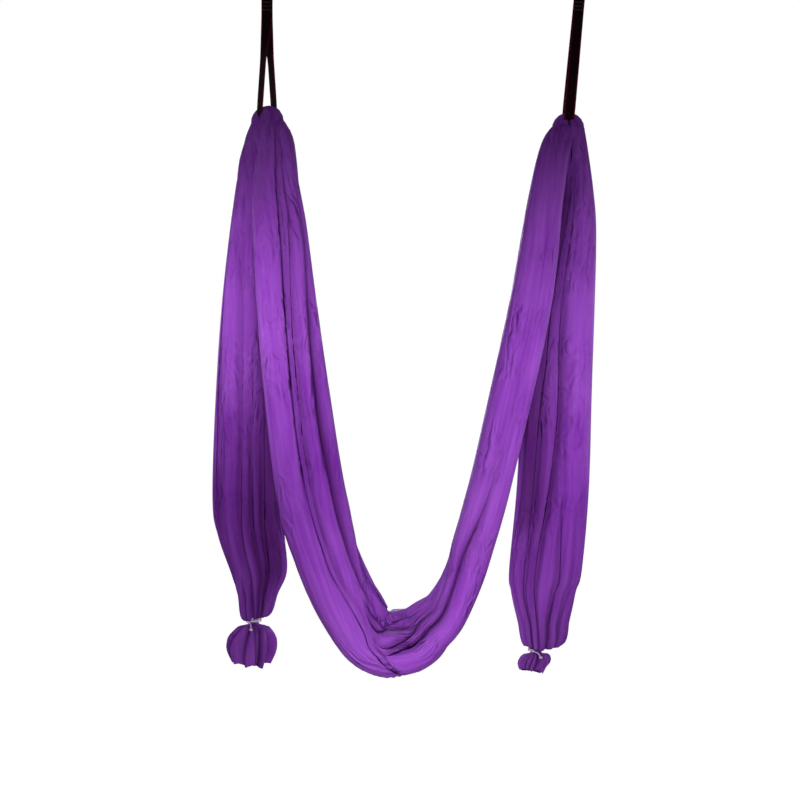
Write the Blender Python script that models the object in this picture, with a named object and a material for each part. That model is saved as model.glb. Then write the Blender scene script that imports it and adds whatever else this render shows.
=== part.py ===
"""Aerial yoga hammock: one gathered cloth on two webbing straps and two screw-lock carabiners.

Metres, +Z up, +X to the right, -Y to the front. The origin is where the left carabiner's crown bears
on the hook that holds it. Run it with Blender, in the background or from the text editor.
"""

import math

import bmesh
import bpy
from mathutils import Vector

# Clearances between pieces
GAP = 0.0003
RUNNING_GAP = 0.0004
SLEEVE_CLEARANCE = 0.0007

# Angles, in degrees, under which neighbouring faces are shaded as one round surface
METAL_SMOOTH_ANGLE = 35
WEBBING_SMOOTH_ANGLE = 40
CLOTH_SMOOTH_ANGLE = 50

# Overall layout
HANGER_SPACING = 0.704
LEFT_STRAP_DROP = 0.266
RIGHT_STRAP_DROP = 0.282
RIGHT_STRAP_LEAN = 0.0265
LEFT_STRAP_TWIST = math.radians(53)
SLING_DEPTH = 1.1966
LEFT_TAIL_DROP = 1.1007
RIGHT_TAIL_DROP = 1.1497

# Carabiner bar and outline
BAR_RADIUS = 0.006
BAR_SIDES = 12
INNER_HEIGHT = 0.088
HALF_WIDTH = 0.026
BASKET_CORNER_RADIUS = 0.013
CORNER_STEPS = 5
CROWN_STEPS = 12
SHOULDER_STRAIGHT = 0.0042
NOSE_STRAIGHT = 0.006

# Gate, its hinge and its latch
GATE_TIP_GAP = 0.0008
GATE_CROWN_ANGLES = (6, 25, 45, 68, 90)
TONGUE_THICKNESS = 0.004
TONGUE_RADIUS = 0.005
TONGUE_ROOT = 0.003
TONGUE_STEPS = 10
RIVET_RADIUS = 0.0018
LATCH_PIN_INSET = 0.0042
LATCH_PIN_RADIUS = 0.0014
NOSE_LIP = 0.0014
NOSE_SLOT_ROOM = 0.0016
ROUND_SIDES = 16

# Gate spring and plunger, inside the gate's bore
BORE_RADIUS = 0.0022
BORE_END_WALL = 0.003
PLUNGER_LENGTH = 0.006
SPRING_WIRE_RADIUS = 0.00035
SPRING_TURNS = 6
SPRING_POINTS_PER_TURN = 8

# Lock sleeve, unscrewed, with its top measured from the hinge rivet
SLEEVE_TOP_DROP = 0.010
SLEEVE_LENGTH = 0.020
SLEEVE_WALL = 0.0022
SLEEVE_CHAMFER = 0.0006

# Webbing straps
STRAP_WIDTH = 0.025
STRAP_THICKNESS = 0.0024
STRAP_EYE_DROP = 0.020
STRAP_TACK_LENGTH = 0.021
STRAP_TWIST_LENGTH = 0.120
STRAP_WIDTH_POINTS = 5
STRAP_WRAP_STEPS = 10
STRAP_SEAT_STEPS = 12
STRAP_TWIST_STATIONS = (0.25, 0.5, 0.75, 1.0)
STRAP_LOWEST_STATION = 0.85
STRAP_LEAST_CUP_RADIUS = 0.006

# Cloth bundle where it passes over a strap
BUNDLE_HALF_WIDTH = 0.017
BUNDLE_HALF_HEIGHT = 0.013
SADDLE_RADIUS = 0.024
SADDLE_SIDE_GAP = 0.0008

# Cloth sections, with fades as shares of a strand's or a tail's length
CREASE_DEPTH = 0.17
SADDLE_CREASE_DEPTH = 0.04
SLING_CREASE_FADE = 0.083
TAIL_TOP_CREASE_DEPTH = 0.02
TAIL_CREASE_FADE = 0.125
NECK_CREASE_FADE = 0.1
SLING_CREASES = (10, 50, 85, 112, 165, 215, 262, 312)
TAIL_CREASES = (20, 62, 98, 130, 172, 222, 268, 318)
TWIST_FADE = 0.30
TROUGH_ROLL = math.radians(20)
TROUGH_GROOVE = 0.62
TROUGH_GROOVE_WIDTH = math.radians(36)
TROUGH_LENGTH = 0.30
STRAND_RINGS = 40
RING_CROWDING = 2.0
FLARE_LENGTH = 0.20
SADDLE_RINGS = 7
SPINE_SAMPLES = 600
SPINE_STEP = 0.004

# Sling strands, from each saddle down: share of the sling's depth, share of the span between the
# straps, then in metres the centre's y, half the width seen from the front and half the depth
LEFT_STRAND = (
    (0.073, 0.025, -0.035, 0.042, 0.033),
    (0.167, 0.035, -0.047, 0.053, 0.041),
    (0.355, 0.065, -0.052, 0.064, 0.045),
    (0.543, 0.103, -0.052, 0.070, 0.046),
    (0.731, 0.150, -0.051, 0.074, 0.049),
    (0.825, 0.193, -0.046, 0.073, 0.054),
    (0.892, 0.241, -0.036, 0.074, 0.066),
    (0.940, 0.288, -0.026, 0.073, 0.080),
    (0.983, 0.341, -0.016, 0.073, 0.092),
    (0.998, 0.392, -0.012, 0.076, 0.098),
)
SLING_BOTTOM = (0.442, -0.010, 0.075, 0.100)
RIGHT_STRAND = (
    (0.060, 0.057, -0.026, 0.024, 0.033),
    (0.155, 0.078, -0.049, 0.036, 0.041),
    (0.347, 0.127, -0.058, 0.043, 0.047),
    (0.537, 0.196, -0.059, 0.043, 0.050),
    (0.728, 0.273, -0.055, 0.043, 0.054),
    (0.823, 0.324, -0.045, 0.043, 0.060),
    (0.884, 0.367, -0.037, 0.045, 0.068),
    (0.943, 0.426, -0.024, 0.053, 0.084),
    (0.970, 0.466, -0.017, 0.057, 0.092),
    (0.992, 0.509, -0.012, 0.065, 0.098),
)

# Tails, from the pivot down: share of the drop to the neck, then in metres the centre's x from the
# pivot, its y from the pivot, half the width seen from the front and half the depth
LEFT_TAIL = (
    (0.031, -0.007, 0.014, 0.034, 0.029),
    (0.134, -0.014, 0.027, 0.050, 0.040),
    (0.342, -0.024, 0.030, 0.070, 0.044),
    (0.550, -0.028, 0.031, 0.081, 0.045),
    (0.758, -0.030, 0.030, 0.085, 0.046),
    (0.831, -0.024, 0.030, 0.079, 0.045),
    (0.904, -0.011, 0.029, 0.064, 0.042),
    (0.945, -0.013, 0.028, 0.050, 0.038),
    (0.984, -0.017, 0.027, 0.033, 0.027),
)
LEFT_NECK = (-0.020, 0.026)
RIGHT_TAIL = (
    (0.023, 0.001, 0.014, 0.025, 0.028),
    (0.096, 0.001, 0.033, 0.037, 0.037),
    (0.175, -0.009, 0.043, 0.050, 0.041),
    (0.334, -0.034, 0.050, 0.072, 0.044),
    (0.493, -0.048, 0.051, 0.080, 0.045),
    (0.692, -0.057, 0.051, 0.082, 0.046),
    (0.851, -0.073, 0.049, 0.082, 0.046),
    (0.891, -0.077, 0.048, 0.077, 0.045),
    (0.930, -0.077, 0.047, 0.068, 0.043),
    (0.970, -0.077, 0.046, 0.056, 0.038),
    (0.992, -0.080, 0.045, 0.041, 0.030),
)
RIGHT_NECK = (-0.0925, 0.044)
TAIL_TOP_RADIUS = 0.020
TAIL_TOP_HALF_WIDTH = 0.022
TAIL_TOP_ANGLES = (8, 35, 62, 90)
TAIL_TOP_BLUNTNESS = 0.6
RINGS_PER_STATION = 2

# Neck, ruffled end and the cord wound round the neck
NECK_RADIUS = 0.015
NECK_LENGTH = 0.016
LEFT_RUFFLE = (
    (0.010, 0.030, 0.026),
    (0.024, 0.046, 0.038),
    (0.042, 0.058, 0.046),
    (0.064, 0.057, 0.044),
    (0.078, 0.040, 0.032),
    (0.090, 0.018, 0.016),
)
RIGHT_RUFFLE = (
    (0.006, 0.026, 0.023),
    (0.014, 0.034, 0.030),
    (0.026, 0.036, 0.032),
    (0.038, 0.026, 0.024),
    (0.046, 0.012, 0.012),
)
RUFFLE_CREASE_DEPTH = 0.26
RUFFLE_CREASE_FADE = 0.03
CORD_RADIUS = 0.00125
CORD_TURNS = 3
CORD_POINTS_PER_TURN = 24
CORD_TURN_PITCH = 0.0033
LEFT_CORD_START = math.radians(235)
RIGHT_CORD_START = math.radians(250)

# The cord's free end, with its lean, bend, bow and fall as shares of the length that has run
CORD_END_LENGTH = 0.030
CORD_END_STEPS = 8
CORD_END_SPREAD = 0.8
CORD_END_LEAN = 0.45
CORD_END_BEND = 0.14
CORD_END_BOW = 0.27
CORD_END_FALL = 0.35

# Places that follow from the sizes above, with the gate's measured from its hinge rivet
CROWN_Z = BAR_RADIUS - HALF_WIDTH
BASKET_Z = -(INNER_HEIGHT + BAR_RADIUS)
HINGE_X = HALF_WIDTH
SHOULDER_Z = CROWN_Z - SHOULDER_STRAIGHT
HINGE_Z = SHOULDER_Z - BAR_RADIUS - 2 * RUNNING_GAP
NOSE_Z = BASKET_Z + BASKET_CORNER_RADIUS + NOSE_STRAIGHT
GATE_LENGTH = HINGE_Z - NOSE_Z - GATE_TIP_GAP
SLOT_HALF = TONGUE_THICKNESS / 2 + RUNNING_GAP
LATCH_PIN_DROP = GATE_LENGTH - LATCH_PIN_INSET
LATCH_Z = HINGE_Z - LATCH_PIN_DROP


def clear_scene():
    for old in list(bpy.data.objects):
        bpy.data.objects.remove(old, do_unlink=True)


def make_material(name, colour, roughness, metallic):
    material = bpy.data.materials.new(name)
    material.use_nodes = True
    shader = material.node_tree.nodes["Principled BSDF"]
    shader.inputs["Base Color"].default_value = (*colour, 1.0)
    shader.inputs["Roughness"].default_value = roughness
    shader.inputs["Metallic"].default_value = metallic
    material.diffuse_color = (*colour, 1.0)
    return material


def add_object(name, bm, material, pivot=(0, 0, 0), smooth_angle=None):
    """A mesh object from points in world space, with its origin at the pivot."""
    bmesh.ops.recalc_face_normals(bm, faces=bm.faces)
    bmesh.ops.translate(bm, verts=bm.verts, vec=-Vector(pivot))
    mesh = bpy.data.meshes.new(name)
    bm.to_mesh(mesh)
    bm.free()
    mesh.materials.append(material)
    if smooth_angle is not None:
        mesh.shade_smooth()
        mesh.set_sharp_from_angle(angle=math.radians(smooth_angle))
    placed = bpy.data.objects.new(name, mesh)
    placed.location = pivot
    bpy.context.scene.collection.objects.link(placed)
    return placed


def add_empty(name, location):
    empty = bpy.data.objects.new(name, None)
    empty.empty_display_size = 0.02
    empty.location = location
    bpy.context.scene.collection.objects.link(empty)
    return empty


def attach(child, parent):
    """Parents without moving: no object here is turned or scaled."""
    child.parent = parent
    child.location = Vector(child.location) - Vector(parent.location)


def smoothstep(value):
    value = min(max(value, 0.0), 1.0)
    return value * value * (3 - 2 * value)


# Mesh builders


def skin_rings(bm, rings, closed=False):
    """Bridges rings of points in order. Open tubes get a face at each end."""
    loops = [[bm.verts.new(point) for point in ring] for ring in rings]
    count = len(loops[0])
    pairs = list(zip(loops, loops[1:]))
    if closed:
        pairs.append((loops[-1], loops[0]))
    for first, second in pairs:
        for i in range(count):
            j = (i + 1) % count
            bm.faces.new((first[i], first[j], second[j], second[i]))
    if not closed:
        bm.faces.new(loops[0])
        bm.faces.new(list(reversed(loops[-1])))


def sweep_bar(bm, path, radius, sides):
    """A round bar along a path that lies in the XZ plane."""
    rings = []
    for i, point in enumerate(path):
        before = path[max(i - 1, 0)]
        after = path[min(i + 1, len(path) - 1)]
        tangent = (after - before).normalized()
        across = tangent.cross(Vector((0, 1, 0))).normalized()
        ring = []
        for k in range(sides):
            turn = 2 * math.pi * k / sides
            ring.append(point + across * radius * math.cos(turn) + Vector((0, radius * math.sin(turn), 0)))
        rings.append(ring)
    skin_rings(bm, rings)


def turn_profile(bm, profile, centre, sides, closed=False):
    """Turns a profile of (radius, height) points about a vertical line through the centre."""
    rings = []
    for radius, height in profile:
        rings.append(
            [
                centre + Vector((radius * math.cos(a), radius * math.sin(a), height))
                for a in (2 * math.pi * k / sides for k in range(sides))
            ]
        )
    skin_rings(bm, rings, closed)


def cross_pin(bm, centre, radius, length, sides=ROUND_SIDES):
    """A round pin along Y."""
    rings = []
    for end in (-length / 2, length / 2):
        rings.append(
            [
                centre + Vector((radius * math.cos(a), end, radius * math.sin(a)))
                for a in (2 * math.pi * k / sides for k in range(sides))
            ]
        )
    skin_rings(bm, rings)


def flat_plate(bm, outline, thickness):
    """A plate in the XZ plane, centred on y = 0, from its outline of (x, z) points."""
    rings = [[Vector((x, y, z)) for x, z in outline] for y in (-thickness / 2, thickness / 2)]
    skin_rings(bm, rings)


def box(bm, low, high):
    corners = ((low[0], low[2]), (high[0], low[2]), (high[0], high[2]), (low[0], high[2]))
    rings = [[Vector((x, y, z)) for x, z in corners] for y in (low[1], high[1])]
    skin_rings(bm, rings)


def combine(target, operation, shapes):
    """Boolean of the target with plain helper meshes, applied at once. Each shape is a function that
    fills a bmesh in the target's own space."""
    for number, shape in enumerate(shapes):
        bm = bmesh.new()
        shape(bm)
        helper = add_object(f"{target.name}_{operation.lower()}_{number}", bm, target.data.materials[0])
        helper.display_type = "WIRE"
        helper.hide_render = True
        modifier = target.modifiers.new(f"{operation.title()} {number}", "BOOLEAN")
        modifier.operation = operation
        modifier.solver = "EXACT"
        modifier.object = helper
        helper.parent = target


# Carabiners


def arc(centre, radius, start, end, steps):
    """Points on an arc in the XZ plane, with angles in degrees from +X towards +Z."""
    points = []
    for i in range(steps + 1):
        angle = math.radians(start + (end - start) * i / steps)
        points.append(centre + Vector((radius * math.cos(angle), 0, radius * math.sin(angle))))
    return points


def frame_path():
    """The bar's centre line from the nose round the basket, spine and crown to the hinge."""
    corner = BASKET_CORNER_RADIUS
    basket_right = Vector((HALF_WIDTH - corner, 0, BASKET_Z + corner))
    basket_left = Vector((corner - HALF_WIDTH, 0, BASKET_Z + corner))
    path = [Vector((HALF_WIDTH, 0, NOSE_Z))]
    path += arc(basket_right, corner, 0, -90, CORNER_STEPS)
    path += arc(basket_left, corner, -90, -180, CORNER_STEPS)
    path += arc(Vector((0, 0, CROWN_Z)), HALF_WIDTH, 180, 0, CROWN_STEPS)
    path.append(Vector((HALF_WIDTH, 0, SHOULDER_Z)))
    return path


def hinge_tongue(bm):
    """The flat tongue that the gate's fork straddles, rounded about the rivet."""
    root_z = HINGE_Z + BAR_RADIUS + TONGUE_ROOT
    rivet = Vector((HINGE_X, 0, HINGE_Z))
    end = [(point.x, point.z) for point in arc(rivet, TONGUE_RADIUS, 180, 360, TONGUE_STEPS)]
    outline = [(HINGE_X - TONGUE_RADIUS, root_z)] + end + [(HINGE_X + TONGUE_RADIUS, root_z)]
    flat_plate(bm, outline, TONGUE_THICKNESS)


def nose_tongue(bm):
    """The nose's hook: a plate with a notch, open inwards, that the latch pin swings out of."""
    reach = TONGUE_RADIUS
    room = LATCH_PIN_RADIUS + RUNNING_GAP
    root_z = NOSE_Z - TONGUE_ROOT
    lip_top = LATCH_Z + room + NOSE_LIP
    outline = (
        (HALF_WIDTH - reach, root_z),
        (HALF_WIDTH - reach, LATCH_Z - room),
        (HALF_WIDTH + room, LATCH_Z - room),
        (HALF_WIDTH + room, LATCH_Z + room),
        (HALF_WIDTH - LATCH_PIN_RADIUS / 2, LATCH_Z + room),
        (HALF_WIDTH - LATCH_PIN_RADIUS / 2, lip_top),
        (HALF_WIDTH + reach, lip_top),
        (HALF_WIDTH + reach, root_z),
    )
    flat_plate(bm, outline, TONGUE_THICKNESS)


def build_frame(side, hanger, steel):
    bm = bmesh.new()
    sweep_bar(bm, frame_path(), BAR_RADIUS, BAR_SIDES)
    frame = add_object(f"{side}_carabiner_frame", bm, steel, smooth_angle=METAL_SMOOTH_ANGLE)
    rivet_hole = Vector((HINGE_X, 0, HINGE_Z))
    combine(frame, "UNION", (hinge_tongue, nose_tongue))
    combine(
        frame,
        "DIFFERENCE",
        (lambda bm: cross_pin(bm, rivet_hole, RIVET_RADIUS + GAP, 3 * BAR_RADIUS),),
    )
    frame.location = hanger
    return frame


def gate_profile():
    """Round at the hinge, so that it turns clear of the frame's shoulder, and flat at the tip."""
    profile = []
    for angle in GATE_CROWN_ANGLES:
        turn = math.radians(angle)
        profile.append((BAR_RADIUS * math.sin(turn), BAR_RADIUS * math.cos(turn)))
    profile.append((BAR_RADIUS, SLEEVE_CHAMFER - GATE_LENGTH))
    profile.append((BAR_RADIUS - SLEEVE_CHAMFER, -GATE_LENGTH))
    return profile


def bore_bottom():
    """Height of the spring bore's blind end below the hinge rivet."""
    nose_slot_top = -LATCH_PIN_DROP + LATCH_PIN_RADIUS + NOSE_LIP + NOSE_SLOT_ROOM
    return nose_slot_top + BORE_END_WALL


def build_gate(side, pivot, steel):
    """The gate, with its origin on the rivet: fork slot, nose slot, spring bore and two cross holes."""
    fork_bottom = -(TONGUE_RADIUS + 2 * GAP)
    nose_slot_top = bore_bottom() - BORE_END_WALL
    reach = 2 * BAR_RADIUS
    bm = bmesh.new()
    turn_profile(bm, gate_profile(), Vector((0, 0, 0)), ROUND_SIDES)
    gate = add_object(f"{side}_gate", bm, steel, smooth_angle=METAL_SMOOTH_ANGLE)
    bore = ((BORE_RADIUS, bore_bottom()), (BORE_RADIUS, fork_bottom + GAP))
    combine(
        gate,
        "DIFFERENCE",
        (
            lambda bm: box(bm, (-reach, -SLOT_HALF, fork_bottom), (reach, SLOT_HALF, reach)),
            lambda bm: box(
                bm, (-reach, -SLOT_HALF, -GATE_LENGTH - reach), (reach, SLOT_HALF, nose_slot_top)
            ),
            lambda bm: turn_profile(bm, bore, Vector((0, 0, 0)), ROUND_SIDES),
            lambda bm: cross_pin(bm, Vector((0, 0, 0)), RIVET_RADIUS + GAP, 2 * reach),
            lambda bm: cross_pin(
                bm, Vector((0, 0, -LATCH_PIN_DROP)), LATCH_PIN_RADIUS + GAP, 2 * reach
            ),
        ),
    )
    gate.location = pivot
    return gate


def build_plunger(side, pivot, steel):
    top = -(TONGUE_RADIUS + GAP)
    radius = BORE_RADIUS - RUNNING_GAP
    bm = bmesh.new()
    turn_profile(bm, ((radius, top), (radius, top - PLUNGER_LENGTH)), Vector(pivot), ROUND_SIDES)
    return add_object(f"{side}_gate_plunger", bm, steel, pivot, smooth_angle=METAL_SMOOTH_ANGLE)


def spring_points():
    """The helix from just under the plunger to just above the bore's end, from the hinge rivet."""
    radius = BORE_RADIUS - GAP - SPRING_WIRE_RADIUS
    top = -(TONGUE_RADIUS + PLUNGER_LENGTH + 2 * GAP + SPRING_WIRE_RADIUS)
    bottom = bore_bottom() + GAP + SPRING_WIRE_RADIUS
    count = SPRING_TURNS * SPRING_POINTS_PER_TURN
    points = []
    for i in range(count + 1):
        turn = 2 * math.pi * i / SPRING_POINTS_PER_TURN
        height = top + (bottom - top) * i / count
        points.append(Vector((radius * math.cos(turn), radius * math.sin(turn), height)))
    return points


def build_tube(name, points, radius, resolution, material, pivot):
    """A curve with a bevel and filled caps, whose points are measured from the pivot."""
    curve = bpy.data.curves.new(name, "CURVE")
    curve.dimensions = "3D"
    curve.bevel_depth = radius
    curve.bevel_resolution = resolution
    curve.use_fill_caps = True
    spline = curve.splines.new("POLY")
    spline.points.add(len(points) - 1)
    for slot, point in zip(spline.points, points):
        slot.co = (*point, 1.0)
    curve.materials.append(material)
    tube = bpy.data.objects.new(name, curve)
    tube.location = pivot
    bpy.context.scene.collection.objects.link(tube)
    return tube


def least_self_gap(points, radius, skip):
    """Least distance between two surfaces of one tube, over its points, in millimetres."""
    least = min(
        (first - second).length
        for i, first in enumerate(points)
        for second in points[i + skip :]
    )
    return 1000 * (least - 2 * radius)


def build_sleeve(side, pivot, steel):
    inner = BAR_RADIUS + SLEEVE_CLEARANCE
    outer = inner + SLEEVE_WALL
    top = -SLEEVE_TOP_DROP
    bottom = top - SLEEVE_LENGTH
    profile = (
        (inner, top),
        (outer - SLEEVE_CHAMFER, top),
        (outer, top - SLEEVE_CHAMFER),
        (outer, bottom + SLEEVE_CHAMFER),
        (outer - SLEEVE_CHAMFER, bottom),
        (inner, bottom),
    )
    bm = bmesh.new()
    turn_profile(bm, profile, Vector(pivot), ROUND_SIDES, closed=True)
    return add_object(f"{side}_lock_sleeve", bm, steel, pivot, smooth_angle=METAL_SMOOTH_ANGLE)


def build_carabiner(side, hanger, materials):
    steel = materials["steel"]
    pivot = Vector(hanger) + Vector((HINGE_X, 0, HINGE_Z))
    frame = build_frame(side, hanger, steel)
    bm = bmesh.new()
    cross_pin(bm, pivot, RIVET_RADIUS, 2 * (BAR_RADIUS - RUNNING_GAP))
    rivet = add_object(f"{side}_gate_hinge_rivet", bm, steel, pivot, smooth_angle=METAL_SMOOTH_ANGLE)
    gate = build_gate(side, pivot, steel)
    latch = pivot - Vector((0, 0, LATCH_PIN_DROP))
    bm = bmesh.new()
    cross_pin(bm, latch, LATCH_PIN_RADIUS, 2 * (BAR_RADIUS - RUNNING_GAP))
    latch_pin = add_object(f"{side}_gate_latch_pin", bm, steel, latch, smooth_angle=METAL_SMOOTH_ANGLE)
    plunger = build_plunger(side, pivot, steel)
    points = spring_points()
    spring = build_tube(f"{side}_gate_spring", points, SPRING_WIRE_RADIUS, 1, steel, pivot)
    gap = least_self_gap(points, SPRING_WIRE_RADIUS, SPRING_POINTS_PER_TURN // 2)
    print(f"{side}_gate_spring: least gap to itself {gap:.2f} mm")
    sleeve = build_sleeve(side, pivot, materials["sleeve"])
    attach(rivet, frame)
    attach(gate, frame)
    for inner in (latch_pin, plunger, spring, sleeve):
        inner.parent = gate
        inner.location = Vector(inner.location) - pivot


# Straps


class Saddle:
    """Where the cloth passes over one strap: its place, and the plan directions of the strap's legs,
    of the strand that leads to the sling and of the tail."""

    def __init__(self, side, hanger_x, lean, strap_drop, twist, to_strand):
        self.side = side
        self.bar = Vector((hanger_x, 0, BASKET_Z))
        self.top = Vector((hanger_x - lean, 0, BASKET_Z - strap_drop))
        self.centre = self.top - Vector((0, 0, SADDLE_RADIUS))
        self.twist = twist
        self.to_strand = to_strand

    def strand_exit(self):
        return self.centre + self.to_strand * SADDLE_RADIUS

    def tail_exit(self):
        return self.centre - self.to_strand * SADDLE_RADIUS

    def tail_pivot(self):
        return self.tail_exit() - Vector((0, 0, TAIL_TOP_RADIUS + GAP))


def plan_vector(angle):
    return Vector((math.cos(angle), math.sin(angle), 0))


def make_saddles():
    left_travel = plan_vector(-LEFT_STRAP_TWIST)
    left = Saddle("left", 0.0, 0.0, LEFT_STRAP_DROP, -LEFT_STRAP_TWIST, left_travel)
    right = Saddle("right", HANGER_SPACING, RIGHT_STRAP_LEAN, RIGHT_STRAP_DROP, 0.0, Vector((-1, 0, 0)))
    return left, right


def strap_leg(saddle):
    """One leg of the loop, top to bottom, as (distance from the middle, height)."""
    ply = (STRAP_THICKNESS + GAP) / 2
    flank = BUNDLE_HALF_WIDTH + SADDLE_SIDE_GAP + STRAP_THICKNESS / 2
    tack_top = saddle.bar.z - STRAP_EYE_DROP
    tack_bottom = tack_top - STRAP_TACK_LENGTH
    leg = [(ply, tack_top), (ply, tack_bottom)]
    fall = tack_bottom - saddle.top.z
    shares = [STRAP_TWIST_LENGTH / fall * station for station in STRAP_TWIST_STATIONS]
    for share in (*shares, STRAP_LOWEST_STATION):
        leg.append((ply + (flank - ply) * share, tack_bottom - fall * share))
    return leg


def strap_loop(saddle):
    """The whole loop in its own plane: over the bar, down one leg, under the cloth and back up."""
    eye = BAR_RADIUS + GAP + STRAP_THICKNESS / 2
    flank = BUNDLE_HALF_WIDTH + SADDLE_SIDE_GAP + STRAP_THICKNESS / 2
    seat = BUNDLE_HALF_HEIGHT + SADDLE_SIDE_GAP + STRAP_THICKNESS / 2
    wrap = math.pi / 2 + math.asin(eye / STRAP_EYE_DROP)
    over = []
    for k in range(STRAP_WRAP_STEPS + 1):
        angle = wrap * (2 * k / STRAP_WRAP_STEPS - 1)
        over.append((eye * math.sin(angle), saddle.bar.z + eye * math.cos(angle)))
    under = []
    for k in range(STRAP_SEAT_STEPS + 1):
        angle = math.pi * k / STRAP_SEAT_STEPS
        under.append((flank * math.cos(angle), saddle.top.z - seat * math.sin(angle)))
    leg = strap_leg(saddle)
    return over + leg + under + [(-across, z) for across, z in reversed(leg)]


def strap_point(saddle, across, z, along_width):
    """A point of the webbing's middle surface. The webbing cups round the saddle and twists above it."""
    twist_top = saddle.bar.z - STRAP_EYE_DROP - STRAP_TACK_LENGTH
    angle = saddle.twist * smoothstep((twist_top - z) / STRAP_TWIST_LENGTH)
    share = min(max((saddle.bar.z - z) / (saddle.bar.z - saddle.top.z), 0.0), 1.0)
    middle_x = saddle.bar.x + (saddle.top.x - saddle.bar.x) * share
    radius = max(z - saddle.centre.z, STRAP_LEAST_CUP_RADIUS)
    cup = 1 - smoothstep((z - saddle.top.z) / STRAP_WIDTH)
    bend = along_width / radius
    width = along_width * (1 - cup) + radius * math.sin(bend) * cup
    drop = radius * (1 - math.cos(bend)) * cup
    width_way = plan_vector(angle)
    across_way = plan_vector(angle + math.pi / 2)
    return Vector((middle_x, 0, z - drop)) + width_way * width + across_way * across


def build_strap(saddle, material):
    stations = strap_loop(saddle)
    spread = [STRAP_WIDTH * (k / (STRAP_WIDTH_POINTS - 1) - 0.5) for k in range(STRAP_WIDTH_POINTS)]
    grid = [[strap_point(saddle, across, z, w) for w in spread] for across, z in stations]
    count = len(grid)
    last = STRAP_WIDTH_POINTS - 1
    rings = []
    for i in range(count):
        outer, inner = [], []
        for k in range(STRAP_WIDTH_POINTS):
            onward = grid[(i + 1) % count][k] - grid[i - 1][k]
            sideways = grid[i][min(k + 1, last)] - grid[i][max(k - 1, 0)]
            offset = onward.cross(sideways).normalized() * STRAP_THICKNESS / 2
            outer.append(grid[i][k] + offset)
            inner.append(grid[i][k] - offset)
        rings.append(outer + inner[::-1])
    bm = bmesh.new()
    skin_rings(bm, rings, closed=True)
    return add_object(f"{saddle.side}_strap", bm, material, saddle.bar, smooth_angle=WEBBING_SMOOTH_ANGLE)


# Cloth


def section_angles(creases):
    """Three angles for each band between two creases: the crease and two points on the band."""
    angles = []
    for i, start in enumerate(creases):
        end = creases[(i + 1) % len(creases)] + (360 if i + 1 == len(creases) else 0)
        angles += [(start, True), (start + (end - start) / 3, False), (start + (end - start) * 2 / 3, False)]
    return [(math.radians(angle), crease) for angle, crease in angles]


def cloth_ring(centre, inward, front, half_width, half_depth, creases, depth, groove=0.0):
    """One section: an ellipse drawn in at its creases, and hollowed on its inward side in the trough."""
    ring = []
    for angle, is_crease in section_angles(creases):
        reach = 1 - depth if is_crease else 1.0
        away = math.remainder(angle, 2 * math.pi) / TROUGH_GROOVE_WIDTH
        reach *= 1 - groove * math.exp(-away * away)
        ring.append(
            centre
            + inward * half_width * math.cos(angle) * reach
            + front * half_depth * math.sin(angle) * reach
        )
    return ring


def catmull_rom(points, share):
    """A smooth curve through rows of numbers, where share runs from 0 at the first to 1 at the last."""
    spans = len(points) - 1
    place = min(max(share, 0.0), 1.0) * spans
    i = min(int(place), spans - 1)
    t = place - i
    rows = [points[max(i - 1, 0)], points[i], points[i + 1], points[min(i + 2, spans)]]
    result = []
    for a, b, c, d in zip(*rows):
        result.append(
            0.5 * (2 * b + (c - a) * t + (2 * a - 5 * b + 4 * c - d) * t * t + (3 * b - a - 3 * c + d) * t**3)
        )
    return result


def sling_rows(left, right):
    """The sling's centre line and half sizes between the two saddle exits, as rows of numbers."""
    span = right.top.x - left.top.x
    bottom_z = left.top.z - SLING_DEPTH
    rows = []
    for saddle, strand, side in ((left, LEFT_STRAND, 1), (right, RIGHT_STRAND, -1)):
        depth = saddle.top.z - bottom_z
        leg = [(*saddle.strand_exit(), BUNDLE_HALF_HEIGHT, BUNDLE_HALF_WIDTH)]
        for down, inset, y, half_width, half_depth in strand:
            x = saddle.top.x + side * inset * span
            leg.append((x, y, saddle.top.z - down * depth, half_width, half_depth))
        rows.append(leg)
    inset, y, half_width, half_depth = SLING_BOTTOM
    bottom = (left.top.x + inset * span, y, bottom_z, half_width, half_depth)
    return rows[0] + [bottom] + rows[1][::-1]


def trough_share(z, bottom_z):
    """How much a section belongs to the trough: 1 at the bottom, 0 at the trough's length above it."""
    return 1 - smoothstep((z - bottom_z) / TROUGH_LENGTH)


def ring_shares(rows, count, bottom_z):
    """Shares along the centre line, even by length but closer in the trough and below the saddles."""
    lengths = [0.0]
    before = Vector(catmull_rom(rows, 0.0)[:3])
    for i in range(1, SPINE_SAMPLES + 1):
        point = Vector(catmull_rom(rows, i / SPINE_SAMPLES)[:3])
        top_z = rows[0][2] if i < SPINE_SAMPLES / 2 else rows[-1][2]
        flare = 1 - smoothstep((top_z - point.z) / FLARE_LENGTH)
        weight = 1 + RING_CROWDING * max(trough_share(point.z, bottom_z), flare)
        lengths.append(lengths[-1] + (point - before).length * weight)
        before = point
    shares = []
    i = 0
    for k in range(count):
        target = lengths[-1] * k / (count - 1)
        while i < SPINE_SAMPLES - 1 and lengths[i + 1] < target:
            i += 1
        part = (target - lengths[i]) / (lengths[i + 1] - lengths[i])
        shares.append((i + part) / SPINE_SAMPLES)
    return shares


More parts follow.
